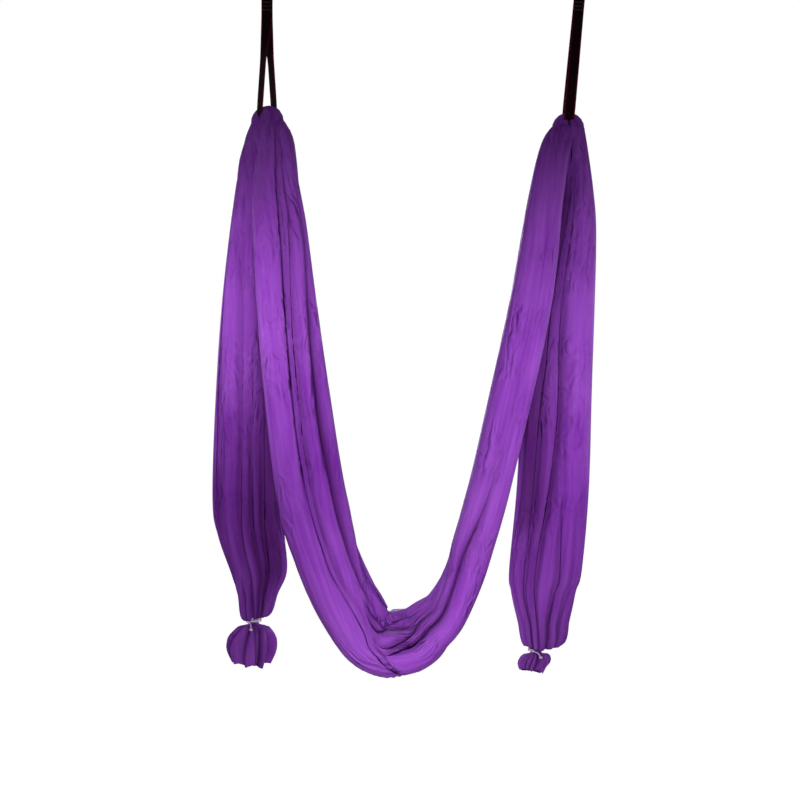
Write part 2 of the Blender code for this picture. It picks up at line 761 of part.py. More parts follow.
def saddle_rings(saddle, start, end):
    """Rings of the bundle round the strap, by the angle from the tail's side over the top."""
    front = plan_vector(math.atan2(saddle.to_strand.y, saddle.to_strand.x) + math.pi / 2)
    if front.y > 0:
        front = -front
    rings = []
    for k in range(SADDLE_RINGS):
        angle = math.radians(start + (end - start) * k / (SADDLE_RINGS - 1))
        outward = -saddle.to_strand * math.cos(angle) + Vector((0, 0, math.sin(angle)))
        centre = saddle.centre + outward * SADDLE_RADIUS
        rings.append(
            cloth_ring(
                centre,
                outward,
                front,
                BUNDLE_HALF_HEIGHT,
                BUNDLE_HALF_WIDTH,
                SLING_CREASES,
                SADDLE_CREASE_DEPTH,
            )
        )
    return rings, front


def build_sling(left, right, material):
    """The cloth between the tails: over the left strap, down, round the trough, up and over."""
    rows = sling_rows(left, right)
    bottom_z = left.top.z - SLING_DEPTH
    shares = ring_shares(rows, STRAND_RINGS, bottom_z)
    start_rings, start_front = saddle_rings(left, 0, 180)
    end_rings, _ = saddle_rings(right, 180, 0)
    rings = list(start_rings)
    for share in shares[1:-1]:
        x, y, z, half_width, half_depth = catmull_rom(rows, share)
        before = Vector(catmull_rom(rows, share - SPINE_STEP)[:3])
        after = Vector(catmull_rom(rows, share + SPINE_STEP)[:3])
        tangent = (after - before).normalized()
        turned = 1 - smoothstep((left.centre.z - z) / TWIST_FADE) if share < 0.5 else 0.0
        front = start_front.lerp(Vector((0, -1, 0)), 1 - turned)
        front = (front - tangent * front.dot(tangent)).normalized()
        inward = front.cross(tangent).normalized()
        trough = trough_share(z, bottom_z)
        roll = TROUGH_ROLL * trough
        rolled_front = front * math.cos(roll) - inward * math.sin(roll)
        rolled_inward = inward * math.cos(roll) + front * math.sin(roll)
        depth = CREASE_DEPTH * smoothstep(min(share, 1 - share) / SLING_CREASE_FADE)
        rings.append(
            cloth_ring(
                Vector((x, y, z)),
                rolled_inward,
                rolled_front,
                half_width,
                half_depth,
                SLING_CREASES,
                depth,
                TROUGH_GROOVE * trough,
            )
        )
    rings += end_rings
    bm = bmesh.new()
    skin_rings(bm, rings)
    return add_object("fabric_sling", bm, material, left.bar, smooth_angle=CLOTH_SMOOTH_ANGLE)


def build_tail(saddle, drop, stations, neck, ruffle, material):
    """A free end: round at its pivot, full in its length, drawn in at the neck and ruffled below it."""
    pivot = saddle.tail_pivot()
    inward, front = Vector((1, 0, 0)), Vector((0, -1, 0))
    rings = []
    for degrees in TAIL_TOP_ANGLES:
        angle = math.radians(degrees)
        centre = pivot + Vector((0, 0, TAIL_TOP_RADIUS * math.cos(angle)))
        half_depth = TAIL_TOP_RADIUS * math.sin(angle)
        half_width = TAIL_TOP_HALF_WIDTH * math.sin(angle) ** TAIL_TOP_BLUNTNESS
        rings.append(
            cloth_ring(centre, inward, front, half_width, half_depth, TAIL_CREASES, TAIL_TOP_CREASE_DEPTH)
        )
    rows = [(0.0, 0.0, 0.0, TAIL_TOP_HALF_WIDTH, TAIL_TOP_RADIUS), *stations]
    rows.append((1.0, *neck, NECK_RADIUS, NECK_RADIUS))
    steps = RINGS_PER_STATION * (len(rows) - 1)
    for k in range(1, steps + 1):
        share, x, y, half_width, half_depth = catmull_rom(rows, k / steps)
        centre = pivot + Vector((x, y, -drop * share))
        fade = smoothstep(share / TAIL_CREASE_FADE) * smoothstep((1 - share) / NECK_CREASE_FADE)
        rings.append(
            cloth_ring(centre, inward, front, half_width, half_depth, TAIL_CREASES, CREASE_DEPTH * fade)
        )
    neck_end = pivot + Vector((*neck, -drop - NECK_LENGTH))
    rings.append(cloth_ring(neck_end, inward, front, NECK_RADIUS, NECK_RADIUS, TAIL_CREASES, 0.0))
    for below, half_width, half_depth in ruffle:
        centre = neck_end - Vector((0, 0, below))
        depth = RUFFLE_CREASE_DEPTH * smoothstep(below / RUFFLE_CREASE_FADE)
        rings.append(cloth_ring(centre, inward, front, half_width, half_depth, TAIL_CREASES, depth))
    bm = bmesh.new()
    skin_rings(bm, rings)
    return add_object(f"{saddle.side}_tail", bm, material, pivot, smooth_angle=CLOTH_SMOOTH_ANGLE)


def cord_points(neck_top, start_angle, ruffle):
    """The cord from its tucked start, round the neck in even turns, to its free end on the ruffle."""
    radius = NECK_RADIUS + RUNNING_GAP + CORD_RADIUS
    count = CORD_TURNS * CORD_POINTS_PER_TURN
    points = []
    for i in range(count + 1):
        turn = start_angle + 2 * math.pi * i / CORD_POINTS_PER_TURN
        fall = CORD_RADIUS + GAP + CORD_TURN_PITCH * i / CORD_POINTS_PER_TURN
        points.append(Vector((radius * math.cos(turn), radius * math.sin(turn), -fall)))
    way = plan_vector(start_angle + math.pi / 2)
    side = plan_vector(start_angle)
    last = points[-1]
    flare = (ruffle[1][1] - NECK_RADIUS) / (ruffle[1][0] + NECK_LENGTH)
    for i in range(1, CORD_END_STEPS + 1):
        ran = CORD_END_LENGTH * i / CORD_END_STEPS
        curl = ran * ran / CORD_END_LENGTH
        along = ran - CORD_END_BEND * curl
        aside = CORD_END_LEAN * ran + CORD_END_BOW * curl
        fall = CORD_END_FALL * flare * curl
        points.append(last + CORD_END_SPREAD * (way * along + side * aside) - Vector((0, 0, fall)))
    return [neck_top + point for point in points]


def build_tie_cord(saddle, drop, neck, ruffle, start_angle, material):
    pivot = saddle.tail_pivot()
    neck_top = pivot + Vector((*neck, -drop))
    points = cord_points(neck_top, start_angle, ruffle)
    name = f"{saddle.side}_tie_cord"
    gap = least_self_gap(points, CORD_RADIUS, CORD_POINTS_PER_TURN // 2)
    print(f"{name}: least gap to itself {gap:.2f} mm")
    return build_tube(name, [point - pivot for point in points], CORD_RADIUS, 1, material, pivot)


def main():
    clear_scene()
    materials = {
        "cloth": make_material("Satin nylon cloth", (0.29, 0.08, 0.50), 0.42, 0.0),
        "webbing": make_material("Woven nylon webbing", (0.012, 0.009, 0.010), 0.7, 0.0),
        "cord": make_material("Pale cotton cord", (0.72, 0.66, 0.70), 0.8, 0.0),
        "steel": make_material("Zinc plated steel", (0.62, 0.63, 0.65), 0.28, 1.0),
        "sleeve": make_material("Knurled steel", (0.50, 0.51, 0.53), 0.38, 1.0),
    }
    left, right = make_saddles()
    swing = add_empty("swing_axis", left.bar)
    for saddle in (left, right):
        hanger = Vector((saddle.bar.x, 0, 0))
        build_carabiner(saddle.side, hanger, materials)
        attach(build_strap(saddle, materials["webbing"]), swing)
    attach(build_sling(left, right, materials["cloth"]), swing)
    ends = (
        (left, LEFT_TAIL_DROP, LEFT_TAIL, LEFT_NECK, LEFT_RUFFLE, LEFT_CORD_START),
        (right, RIGHT_TAIL_DROP, RIGHT_TAIL, RIGHT_NECK, RIGHT_RUFFLE, RIGHT_CORD_START),
    )
    for saddle, drop, stations, neck, ruffle, start in ends:
        tail_axis = add_empty(f"{saddle.side}_tail_axis", saddle.tail_pivot())
        for piece in (
            build_tail(saddle, drop, stations, neck, ruffle, materials["cloth"]),
            build_tie_cord(saddle, drop, neck, ruffle, start, materials["cord"]),
        ):
            attach(piece, tail_axis)
        attach(tail_axis, swing)


main()
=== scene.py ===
"""Aerial yoga hammock: one gathered satin nylon sheet on two webbing loops and two screw-lock carabiners.

Metres, +Z up, +X to the right, -Y to the front. The origin is the left hanging point.
"""

import logging
import math
from dataclasses import dataclass
from enum import Enum

import bmesh
import bpy
import numpy as np
from bpy.types import Material, Node, NodeSocket, NodeTree, Object
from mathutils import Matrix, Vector


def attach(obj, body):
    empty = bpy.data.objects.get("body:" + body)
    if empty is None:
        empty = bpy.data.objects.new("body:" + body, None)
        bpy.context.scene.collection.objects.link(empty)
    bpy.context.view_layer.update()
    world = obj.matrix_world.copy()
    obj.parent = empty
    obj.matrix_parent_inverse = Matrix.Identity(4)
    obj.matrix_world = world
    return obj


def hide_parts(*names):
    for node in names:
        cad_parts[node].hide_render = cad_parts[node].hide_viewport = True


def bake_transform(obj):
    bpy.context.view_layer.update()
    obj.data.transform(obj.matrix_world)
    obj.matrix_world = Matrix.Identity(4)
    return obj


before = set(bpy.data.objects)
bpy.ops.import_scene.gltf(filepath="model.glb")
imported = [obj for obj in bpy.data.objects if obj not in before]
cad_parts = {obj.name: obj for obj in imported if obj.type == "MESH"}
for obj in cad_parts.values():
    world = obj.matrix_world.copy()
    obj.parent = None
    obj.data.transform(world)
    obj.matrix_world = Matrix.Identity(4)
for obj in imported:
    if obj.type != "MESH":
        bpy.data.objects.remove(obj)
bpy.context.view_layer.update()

LOG = logging.getLogger("hammock")

# Room between pieces that touch, and between pieces that slide on each other
GAP = 0.0003
RUNNING_GAP = 0.0004
DOWN = Vector((0, 0, -1))
FRONT = Vector((0, -1, 0))
# Width of the whole sheet, and how many points each band between two folds gets
SHEET_WIDTH = 2.8
SLING_BANDS = (8, 8, 8, 6, 5, 5, 5, 12, 12, *(6,) * 7)
TAIL_BANDS = (8, 8, 12, 10, 10, 12, 12, *(6,) * 9)
STITCH_SIDES = 6
# Steps along a centre line when its length is measured
FINE_STEPS = 1500
Array = np.ndarray
Pair = tuple[float, float]
Triple = tuple[float, float, float]
# How far down a strand a section lies, its place across and in depth, its half width and half depth
Station = tuple[float, float, float, float, float]
Knot = tuple[float, ...]


# Names shared by the pieces


class Side(Enum):
    """The two ends that the sheet hangs from."""

    LEFT = "left"
    RIGHT = "right"


class Ply(Enum):
    """What a mesh hands its material: places on the flat sheet, and how much painted shade each point gets.
    """

    SHEET = "sheet"
    PAINTED_SHADE = "painted_shade"


# Curves and angles


def plan_vector(angle: float) -> Vector:
    """A level unit vector at an angle from +X."""
    return Vector((math.cos(angle), math.sin(angle), 0))


def smoothstep(value: Array | float) -> Array:
    """Eases 0 to 1 with level ends, and holds outside that."""
    clipped = np.clip(value, 0.0, 1.0)
    return clipped * clipped * (3 - 2 * clipped)


def catmull_rom(rows: Array, share: Array) -> Array:
    """Reads a smooth curve through rows of numbers.

    Args:
        rows: One row per station.
        share: Places along the curve, from 0 at the first station to 1 at the last.

    Returns:
        One row per place.
    """
    spans = len(rows) - 1
    place = np.clip(share, 0.0, 1.0) * spans
    i = np.minimum(place.astype(int), spans - 1)
    t = (place - i)[:, None]
    a, b = rows[np.maximum(i - 1, 0)], rows[i]
    c, d = rows[i + 1], rows[np.minimum(i + 2, spans)]
    return 0.5 * (
        2 * b + (c - a) * t + (2 * a - 5 * b + 4 * c - d) * t**2 + (3 * b - a - 3 * c + d) * t**3
    )


def unit(vectors: Array) -> Array:
    """Rows of vectors, each made one long."""
    return vectors / np.maximum(np.linalg.norm(vectors, axis=-1, keepdims=True), 1e-12)


def run_length(steps: Array) -> Array:
    """How far each point lies along a line, from the lengths of the steps between the points."""
    return np.concatenate([[0.0], np.cumsum(steps)])


def step_lengths(line: Array) -> Array:
    """Lengths of the steps between a line's points."""
    return np.linalg.norm(np.diff(line, axis=0), axis=1)


def turned_back(angle: Array) -> Array:
    """The same angles, brought between half a turn back and half a turn on."""
    return np.remainder(angle + math.pi, math.tau) - math.pi


def bell(value: Array, width: float) -> Array:
    """A bell curve: 1 at 0, and 0.37 at its width."""
    return np.exp(-((value / width) ** 2))


# Colours, shader nodes and meshes


def linear(hex_colour: str) -> tuple[float, float, float, float]:
    """Turns an sRGB colour of six hex digits into the linear one that shaders take, with full alpha."""
    parts = []
    for i in (0, 2, 4):
        value = int(hex_colour[i : i + 2], 16) / 255
        parts.append(value / 12.92 if value <= 0.04045 else ((value + 0.055) / 1.055) ** 2.4)
    return (*parts, 1.0)


def feed(tree: NodeTree, node: Node, inputs: dict) -> None:
    """Sets each named or numbered input of a node to a value, or links it to a socket."""
    for name, source in inputs.items():
        if isinstance(source, NodeSocket):
            tree.links.new(source, node.inputs[name])
        else:
            node.inputs[name].default_value = source


def add_node(tree: NodeTree, kind: str, inputs: dict | None = None, **settings: object) -> Node:
    """Adds a node, sets it up and links it.

    Args:
        tree: The material's or world's node tree.
        kind: Blender's name of the node type, less its ShaderNode prefix.
        inputs: Input name or number to a socket that feeds it, or to a value.
        **settings: Properties of the node itself.

    Returns:
        The new node.
    """
    node = tree.nodes.new("ShaderNode" + kind)
    for name, value in settings.items():
        setattr(node, name, value)
    feed(tree, node, inputs or {})
    return node


def wave_scale(spacing_mm: float, coarser: float) -> float:
    """The wave texture's scale for bands at a real spacing, drawn so many times as coarse."""
    return math.tau / 20 / (spacing_mm * coarser / 1000)


def new_material(name: str) -> tuple[Material, NodeTree, Node]:
    """Starts a material, and gives it back with its tree and its surface shader."""
    material = bpy.data.materials.new(name)
    material.use_nodes = True
    return material, material.node_tree, material.node_tree.nodes["Principled BSDF"]


def mesh_object(
    name: str,
    points: Array,
    faces: Array,
    material: Material,
    flat: Array | None = None,
    sharp: float | None = None,
    depth: Array | None = None,
) -> Object:
    """Makes a mesh object of four-sided or three-sided faces.

    Args:
        name: The piece's name.
        points: Points, one per row.
        faces: Corner numbers, one face per row.
        material: Its finish.
        flat: Each point's place on the flat cloth in metres, for weave and stitches.
        sharp: Angle in degrees above which an edge shows as an edge, or none.
        depth: How much painted shade each point gets, from 0 to 1.

    Returns:
        The object, linked to the scene.
    """
    mesh = bpy.data.meshes.new(name)
    mesh.vertices.add(len(points))
    mesh.vertices.foreach_set("co", np.asarray(points, np.float32).ravel())
    count, corners = faces.shape
    mesh.loops.add(count * corners)
    mesh.loops.foreach_set("vertex_index", faces.astype(np.int32).ravel())
    mesh.polygons.add(count)
    mesh.polygons.foreach_set("loop_start", np.arange(0, count * corners, corners, dtype=np.int32))
    mesh.update(calc_edges=True)
    if flat is not None:
        layer = mesh.uv_layers.new(name=Ply.SHEET.value)
        layer.data.foreach_set("uv", flat[faces.ravel()].astype(np.float32).ravel())
    if depth is not None:
        attribute = mesh.attributes.new(Ply.PAINTED_SHADE.value, "FLOAT", "POINT")
        attribute.data.foreach_set("value", depth.astype(np.float32))
    mesh.validate()
    mesh.shade_smooth()
    if sharp is not None:
        mesh.set_sharp_from_angle(angle=math.radians(sharp))
    mesh.materials.append(material)
    made = bpy.data.objects.new(name, mesh)
    bpy.context.scene.collection.objects.link(made)
    return made


def grid_faces(rows: int, columns: int, closed: bool, cyclic: bool = False) -> Array:
    """Numbers the faces of a grid of points.

    Args:
        rows: Rows of points.
        columns: Points in a row.
        closed: Whether each row's last point joins its first.
        cyclic: Whether the last row joins the first.

    Returns:
        Four corner numbers per face.
    """
    i = np.arange(rows if cyclic else rows - 1)[:, None]
    j = np.arange(columns if closed else columns - 1)[None, :]
    following, beside = (i + 1) % rows, (j + 1) % columns
    corners = (i * columns + j, i * columns + beside, following * columns + beside, following * columns + j)
    return np.stack(np.broadcast_arrays(*corners), axis=-1).reshape(-1, 4)


# Finishes


@dataclass(frozen=True)
class SatinNylon:
    """Dyed nylon tricot, warp-knitted and heat-set: a soft wide sheen over a deep violet dye.

    Painted shade darkens the colour deep in folds and in shaded places, where the cloth also loses its
    shine.
    The gloss is low, because the white surroundings would otherwise veil the edge of every fold. A relief
    is a bump's strength and its height.
    """

    # The dye in plain light; a paler tone in random clouds and along the streaks, partly painted sheen; and
    # the painted shade colour
    colour: str = "66248C"
    tone_and_sheen_colour: str = "8546A8"
    painted_shade_colour: str = "26052E"
    # A pale shine off the smooth filament yarn, and a violet bloom at grazing angles
    shine_colour: str = "E8C8FA"
    sheen_colour: str = "A860E0"
    ior: float = 1.53
    roughness: float = 0.56
    folded_roughness: float = 1.0
    gloss: float = 0.012
    sheen: float = 0.10
    sheen_roughness: float = 0.45
    fold_shade: float = 0.8
    shades_per_metre: float = 4.0
    tone_limits: Pair = (0.6, 1.4)
    # The knit's ribs are drawn about six times as coarse as they are, so that they show
    knit_mm: float = 1.6
    knit_coarser: float = math.tau
    knit_relief: Pair = (0.08, 0.0004)
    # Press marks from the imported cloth, in patches and along two slants
    crumple_mm: float = 17.0
    crumple_stretch: float = 0.38
    crumple_slants: tuple[Pair, ...] = ((38, 1.0), (-33, 1.7))
    crumple_relief: Pair = (0.9, 0.021)
    patches_per_metre: float = 6.0
    patch_limits: Pair = (0.43, 0.58)
    # Long soft streaks where the cloth is drawn tight, in the relief and as painted sheen in the colour
    streak_mm: float = 8.0
    streak_stretch: float = 0.05
    streak_relief: Pair = (0.6, 0.0026)

    def patches(self, tree: NodeTree, sheet: NodeSocket) -> NodeSocket:
        """Where the cloth is crumpled: 0 in the smooth areas and 1 in the crumpled ones."""
        clouds = {"Vector": sheet, "Scale": self.patches_per_metre, "Detail": 2.0}
        noise = add_node(tree, "TexNoise", clouds)
        low, high = self.patch_limits
        limits = {"Value": noise.outputs["Fac"], "From Min": low, "From Max": high}
        return add_node(tree, "MapRange", limits, interpolation_type="SMOOTHSTEP").outputs["Result"]

    def crumples(self, tree: NodeTree, sheet: NodeSocket) -> NodeSocket:
        """Slanting press marks and small creases, kept from when the cloth was packed."""
        total = None
        stretch = (1.0, self.crumple_stretch, 1.0)
        for turn, coarser in self.crumple_slants:
            slant = {"Vector": sheet, "Rotation": (0, 0, math.radians(turn)), "Scale": stretch}
            place = add_node(tree, "Mapping", slant).outputs[0]
            scale = 1000 / self.crumple_mm / coarser
            marks = {"Vector": place, "Scale": scale, "Detail": 1.0, "Distortion": 0.4}
            swell = add_node(tree, "TexNoise", marks).outputs["Fac"]
            offset = add_node(tree, "Math", {0: swell, 1: 0.5}, operation="SUBTRACT").outputs[0]
            crease = add_node(tree, "Math", {0: offset}, operation="ABSOLUTE").outputs[0]
            if total is not None:
                crease = add_node(tree, "Math", {0: crease, 1: total}, operation="ADD").outputs[0]
            total = crease
        mask = {0: total, 1: self.patches(tree, sheet)}
        return add_node(tree, "Math", mask, operation="MULTIPLY").outputs[0]

    def make(self) -> Material:
        """Builds the material.

        Returns:
            The satin nylon material.
        """
        material, tree, shader = new_material("Satin nylon tricot")
        sheet = add_node(tree, "UVMap", uv_map=Ply.SHEET.value).outputs[0]
        depth = add_node(tree, "Attribute", attribute_name=Ply.PAINTED_SHADE.value).outputs["Fac"]
        drawn = add_node(tree, "Mapping", {"Vector": sheet, "Scale": (1.0, self.streak_stretch, 1.0)})
        lines = {"Vector": drawn.outputs[0], "Scale": 1000 / self.streak_mm, "Detail": 2.0}
        streaks = add_node(tree, "TexNoise", lines).outputs["Fac"]
        clouds = {"Vector": sheet, "Scale": self.shades_per_metre, "Detail": 3.0}
        shade = add_node(tree, "TexNoise", clouds).outputs["Fac"]
        # Random clouds and the streaks lift the dye to a paler tone: random tone, and along the streaks a
        # painted sheen
        both = add_node(tree, "Math", {0: shade, 1: streaks}, operation="ADD").outputs[0]
        low, high = self.tone_limits
        spread = add_node(tree, "MapRange", {"Value": both, "From Min": low, "From Max": high})
        dyes = {0: spread.outputs["Result"], 6: linear(self.colour), 7: linear(self.tone_and_sheen_colour)}
        dye = add_node(tree, "Mix", dyes, data_type="RGBA").outputs[2]
        # Painted shade: the shade attribute darkens the colour towards the painted shade colour
        folded = add_node(tree, "Math", {0: depth, 1: self.fold_shade}, operation="MULTIPLY").outputs[0]
        shades = {0: folded, 6: dye, 7: linear(self.painted_shade_colour)}
        shaded = add_node(tree, "Mix", shades, data_type="RGBA").outputs[2]
        ribs = {"Vector": sheet, "Scale": wave_scale(self.knit_mm, self.knit_coarser)}
        knit = add_node(tree, "TexWave", ribs, bands_direction="X").outputs["Fac"]
        normal = None
        for height, (strength, distance) in (
            (self.crumples(tree, sheet), self.crumple_relief),
            (streaks, self.streak_relief),
            (knit, self.knit_relief),
        ):
            relief = {"Height": height, "Strength": strength, "Distance": distance}
            if normal is not None:
                relief["Normal"] = normal
            normal = add_node(tree, "Bump", relief).outputs[0]
        dulling = {"Value": depth, "To Min": self.roughness, "To Max": self.folded_roughness}
        finish = {
            "Base Color": shaded,
            "Roughness": add_node(tree, "MapRange", dulling).outputs["Result"],
            "Normal": normal,
            "IOR": self.ior,
            "Specular IOR Level": self.gloss,
            "Specular Tint": linear(self.shine_colour),
            "Sheen Weight": self.sheen,
            "Sheen Roughness": self.sheen_roughness,
            "Sheen Tint": linear(self.sheen_colour),
        }
        feed(tree, shader, finish)
        return material


@dataclass(frozen=True)
class NylonWebbing:
    """Plain-woven nylon webbing: matt black ribs across it, with dark red yarns along both selvedges."""

    width: float
    colour: str = "1A0A11"
    edge_colour: str = "52121E"
    edge_share: float = 0.15
    edge_blur: float = 0.0004
    # The ribs are drawn about three times as coarse as they are, so that they show
    rib_mm: float = 1.4
    rib_coarser: float = math.pi
    rib_shade: float = 0.65
    rib_relief: Pair = (0.6, 0.0004)
    roughness: float = 0.72
    gloss: float = 0.01

    def make(self) -> Material:
        """Builds the material from the strap's flat coordinates.

        Returns:
            The webbing material.
        """
        material, tree, shader = new_material("Woven nylon webbing")
        band = add_node(tree, "UVMap", uv_map=Ply.SHEET.value).outputs[0]
        split = add_node(tree, "SeparateXYZ", {0: band})
        away = add_node(tree, "Math", {0: split.outputs["X"]}, operation="ABSOLUTE").outputs[0]
        inner = self.width * (0.5 - self.edge_share)
        limits = {"Value": away, "From Min": inner - self.edge_blur, "From Max": inner + self.edge_blur}
        edge = add_node(tree, "MapRange", limits).outputs["Result"]
        weave = {"Vector": band, "Scale": wave_scale(self.rib_mm, self.rib_coarser)}
        ribs = add_node(tree, "TexWave", weave, bands_direction="Y").outputs["Fac"]
        dyes = {0: edge, 6: linear(self.colour), 7: linear(self.edge_colour)}
        dye = add_node(tree, "Mix", dyes, data_type="RGBA").outputs[2]
        shade = add_node(tree, "MapRange", {"Value": ribs, "To Min": self.rib_shade, "To Max": 1.0})
        both = {0: 1.0, 6: dye, 7: shade.outputs["Result"]}
        yarn = add_node(tree, "Mix", both, data_type="RGBA", blend_type="MULTIPLY").outputs[2]
        strength, distance = self.rib_relief
        bump = add_node(tree, "Bump", {"Height": ribs, "Strength": strength, "Distance": distance})
        finish = {
            "Base Color": yarn,
            "Normal": bump.outputs[0],
            "Roughness": self.roughness,
            "Specular IOR Level": self.gloss,
        }
        feed(tree, shader, finish)
        return material


@dataclass(frozen=True)
class SpunThread:
    """Spun cotton or polyester thread: matt, with fibres that break up its colour."""

    name: str = "Pale cotton cord"
    colour: str = "D8C0D8"
    shade_colour: str = "A890AC"
    # Fibres are drawn four times as coarse as they are, so that they show
    fibre_mm: float = 0.5
    fibre_coarser: float = 4.0
    fibre_relief: Pair = (0.4, 0.0003)
    roughness: float = 0.85

    def make(self) -> Material:
        """Builds the material.

        Returns:
            The thread material.
        """
        material, tree, shader = new_material(self.name)
        place = add_node(tree, "TexCoord").outputs["Object"]
        scale = 1000 / self.fibre_mm / self.fibre_coarser
        fibre = add_node(tree, "TexNoise", {"Vector": place, "Scale": scale, "Detail": 2.0}).outputs["Fac"]
        dyes = {0: fibre, 6: linear(self.shade_colour), 7: linear(self.colour)}
        dye = add_node(tree, "Mix", dyes, data_type="RGBA").outputs[2]
        strength, distance = self.fibre_relief
        bump = add_node(tree, "Bump", {"Height": fibre, "Strength": strength, "Distance": distance})
        feed(tree, shader, {"Base Color": dye, "Normal": bump.outputs[0], "Roughness": self.roughness})
        return material


@dataclass(frozen=True)
class PlatedSteel:
    """Forged or turned steel, tumbled and zinc plated: bright grey with fine scuffs and dull patches."""

    name: str = "Zinc plated steel"
    colour: str = "A6A8AB"
    dull_colour: str = "85878A"
    roughness: float = 0.26
    dulling: float = 0.14
    patches_per_metre: float = 90.0
    patch_limits: Pair = (0.3, 0.7)
    scuff_mm: float = 0.8
    scuff_relief: Pair = (0.12, 0.0001)

    def make(self) -> Material:
        """Builds the material.

        Returns:
            The metal material.
        """
        material, tree, shader = new_material(self.name)
        place = add_node(tree, "TexCoord").outputs["Object"]
        clouds = {"Vector": place, "Scale": self.patches_per_metre, "Detail": 4.0}
        patches = add_node(tree, "TexNoise", clouds).outputs["Fac"]
        scratches = {"Vector": place, "Scale": 1000 / self.scuff_mm, "Detail": 3.0}
        scuffs = add_node(tree, "TexNoise", scratches).outputs["Fac"]
        tones = {0: patches, 6: linear(self.dull_colour), 7: linear(self.colour)}
        tone = add_node(tree, "Mix", tones, data_type="RGBA").outputs[2]
        low, high = self.patch_limits
        dull, bright = self.roughness + self.dulling, self.roughness
        limits = {"Value": patches, "From Min": low, "From Max": high, "To Min": dull, "To Max": bright}
        rub = add_node(tree, "MapRange", limits).outputs["Result"]
        strength, distance = self.scuff_relief
        bump = add_node(tree, "Bump", {"Height": scuffs, "Strength": strength, "Distance": distance})
        finish = {"Base Color": tone, "Roughness": rub, "Normal": bump.outputs[0], "Metallic": 1.0}
        feed(tree, shader, finish)
        return material


# Where the cloth passes over the straps


@dataclass(frozen=True)
class Saddle:
    """Where the cloth passes over one strap."""

    side: Side
    hanger_x: float
    lean: float
    strap_drop: float
    twist: float
    to_strand: Vector
    bar_z: float = -0.094
    radius: float = 0.024
    bundle_half_width: float = 0.017
    bundle_half_height: float = 0.013
    tail_top_radius: float = 0.020

    @property
    def bar(self) -> Vector:
        """Middle of the carabiner bar that the strap hangs from."""
        return Vector((self.hanger_x, 0, self.bar_z))

    @property
    def top(self) -> Vector:
        """Middle of the bundle where it is highest."""
        return Vector((self.hanger_x - self.lean, 0, self.bar_z - self.strap_drop))

    @property
    def centre(self) -> Vector:
        """Centre of the arch that the bundle makes."""
        return self.top + DOWN * self.radius

    @property
    def strand_exit(self) -> Vector:
        """Where the arch ends on the sling's side."""
        return self.centre + self.to_strand * self.radius

    @property
    def tail_exit(self) -> Vector:
        """Where the arch ends on the tail's side."""
        return self.centre - self.to_strand * self.radius

    @property
    def tail_pivot(self) -> Vector:
        """The point that the tail swings about."""
        return self.tail_exit + DOWN * (self.tail_top_radius + GAP)

    @property
    def front(self) -> Vector:
        """The level direction across the bundle that faces the front."""
        across = plan_vector(math.atan2(self.to_strand.y, self.to_strand.x) + math.pi / 2)
        return -across if across.y > 0 else across

    def arch(self, steps: int, start: float, end: float) -> tuple[Array, Array]:
        """Centres and outward directions over the top.

        Args:
            steps: How many sections.
            start: Angle of the first, in degrees from the tail's side.
            end: Angle of the last.

        Returns:
            Centres and outward directions, one row per section.
        """
        angles = np.radians(np.linspace(start, end, steps))[:, None]
        outward = -np.array(self.to_strand) * np.cos(angles) + np.array((0, 0, 1)) * np.sin(angles)
        return np.array(self.centre) + outward * self.radius, outward


def make_saddles() -> dict[Side, Saddle]:
    """Places both saddles.

    Returns:
        The saddle of each side.
    """
    twist = math.radians(53)
    left = Saddle(
        Side.LEFT, hanger_x=0.0, lean=0.0, strap_drop=0.266, twist=-twist, to_strand=plan_vector(-twist)
    )
    right = Saddle(
        Side.RIGHT, hanger_x=0.704, lean=0.0265, strap_drop=0.282, twist=0.0, to_strand=Vector((-1, 0, 0))
    )
    return {Side.LEFT: left, Side.RIGHT: right}


# How the sheet is folded and gathered


@dataclass(frozen=True)
class Fold:
    """A lengthwise fold of the gathered sheet.

    Each knot is a station number, the fold's angle round the section in degrees, its lap and its dip. The
    last two are left out where both are 0. Lap is 1 where the band before the fold lies over the one after
    it, -1 the other way round, and 0 where neither does. Dip is how deep a valley the fold lies in, as a
    share of the section's radius; a ridge is below 0. A fold with neither is closed and hardly shows.
    """

    knots: tuple[Knot, ...]
    smooth_step: float = 0.05
    smooth_steps: int = 13

    def read(self, stations: Array) -> tuple[Array, Array, Array]:
        """Reads the fold at any stations.

        Args:
            stations: Station numbers, with fractions.

        Returns:
            Angles in radians, laps and dips.
        """
        at, angle, lap, dip = np.array([(*knot, 0, 0)[:4] for knot in self.knots]).T
        fine = np.arange(at[0] - 1, at[-1] + 1, self.smooth_step)
        kernel = np.hanning(self.smooth_steps)
        kernel /= kernel.sum()
        read = []
        for values in (np.radians(angle), lap, dip):
            drawn = np.interp(fine, at, values)
            padded = np.pad(drawn, len(kernel) // 2, mode="edge")
            read.append(np.interp(stations, fine, np.convolve(padded, kernel, mode="valid")))
        return read[0], read[1], read[2]


@dataclass(frozen=True)
class FoldLines:
    """The angles, laps and dips of all folds: one row per section, one column per fold."""

    angles: Array
    laps: Array
    dips: Array


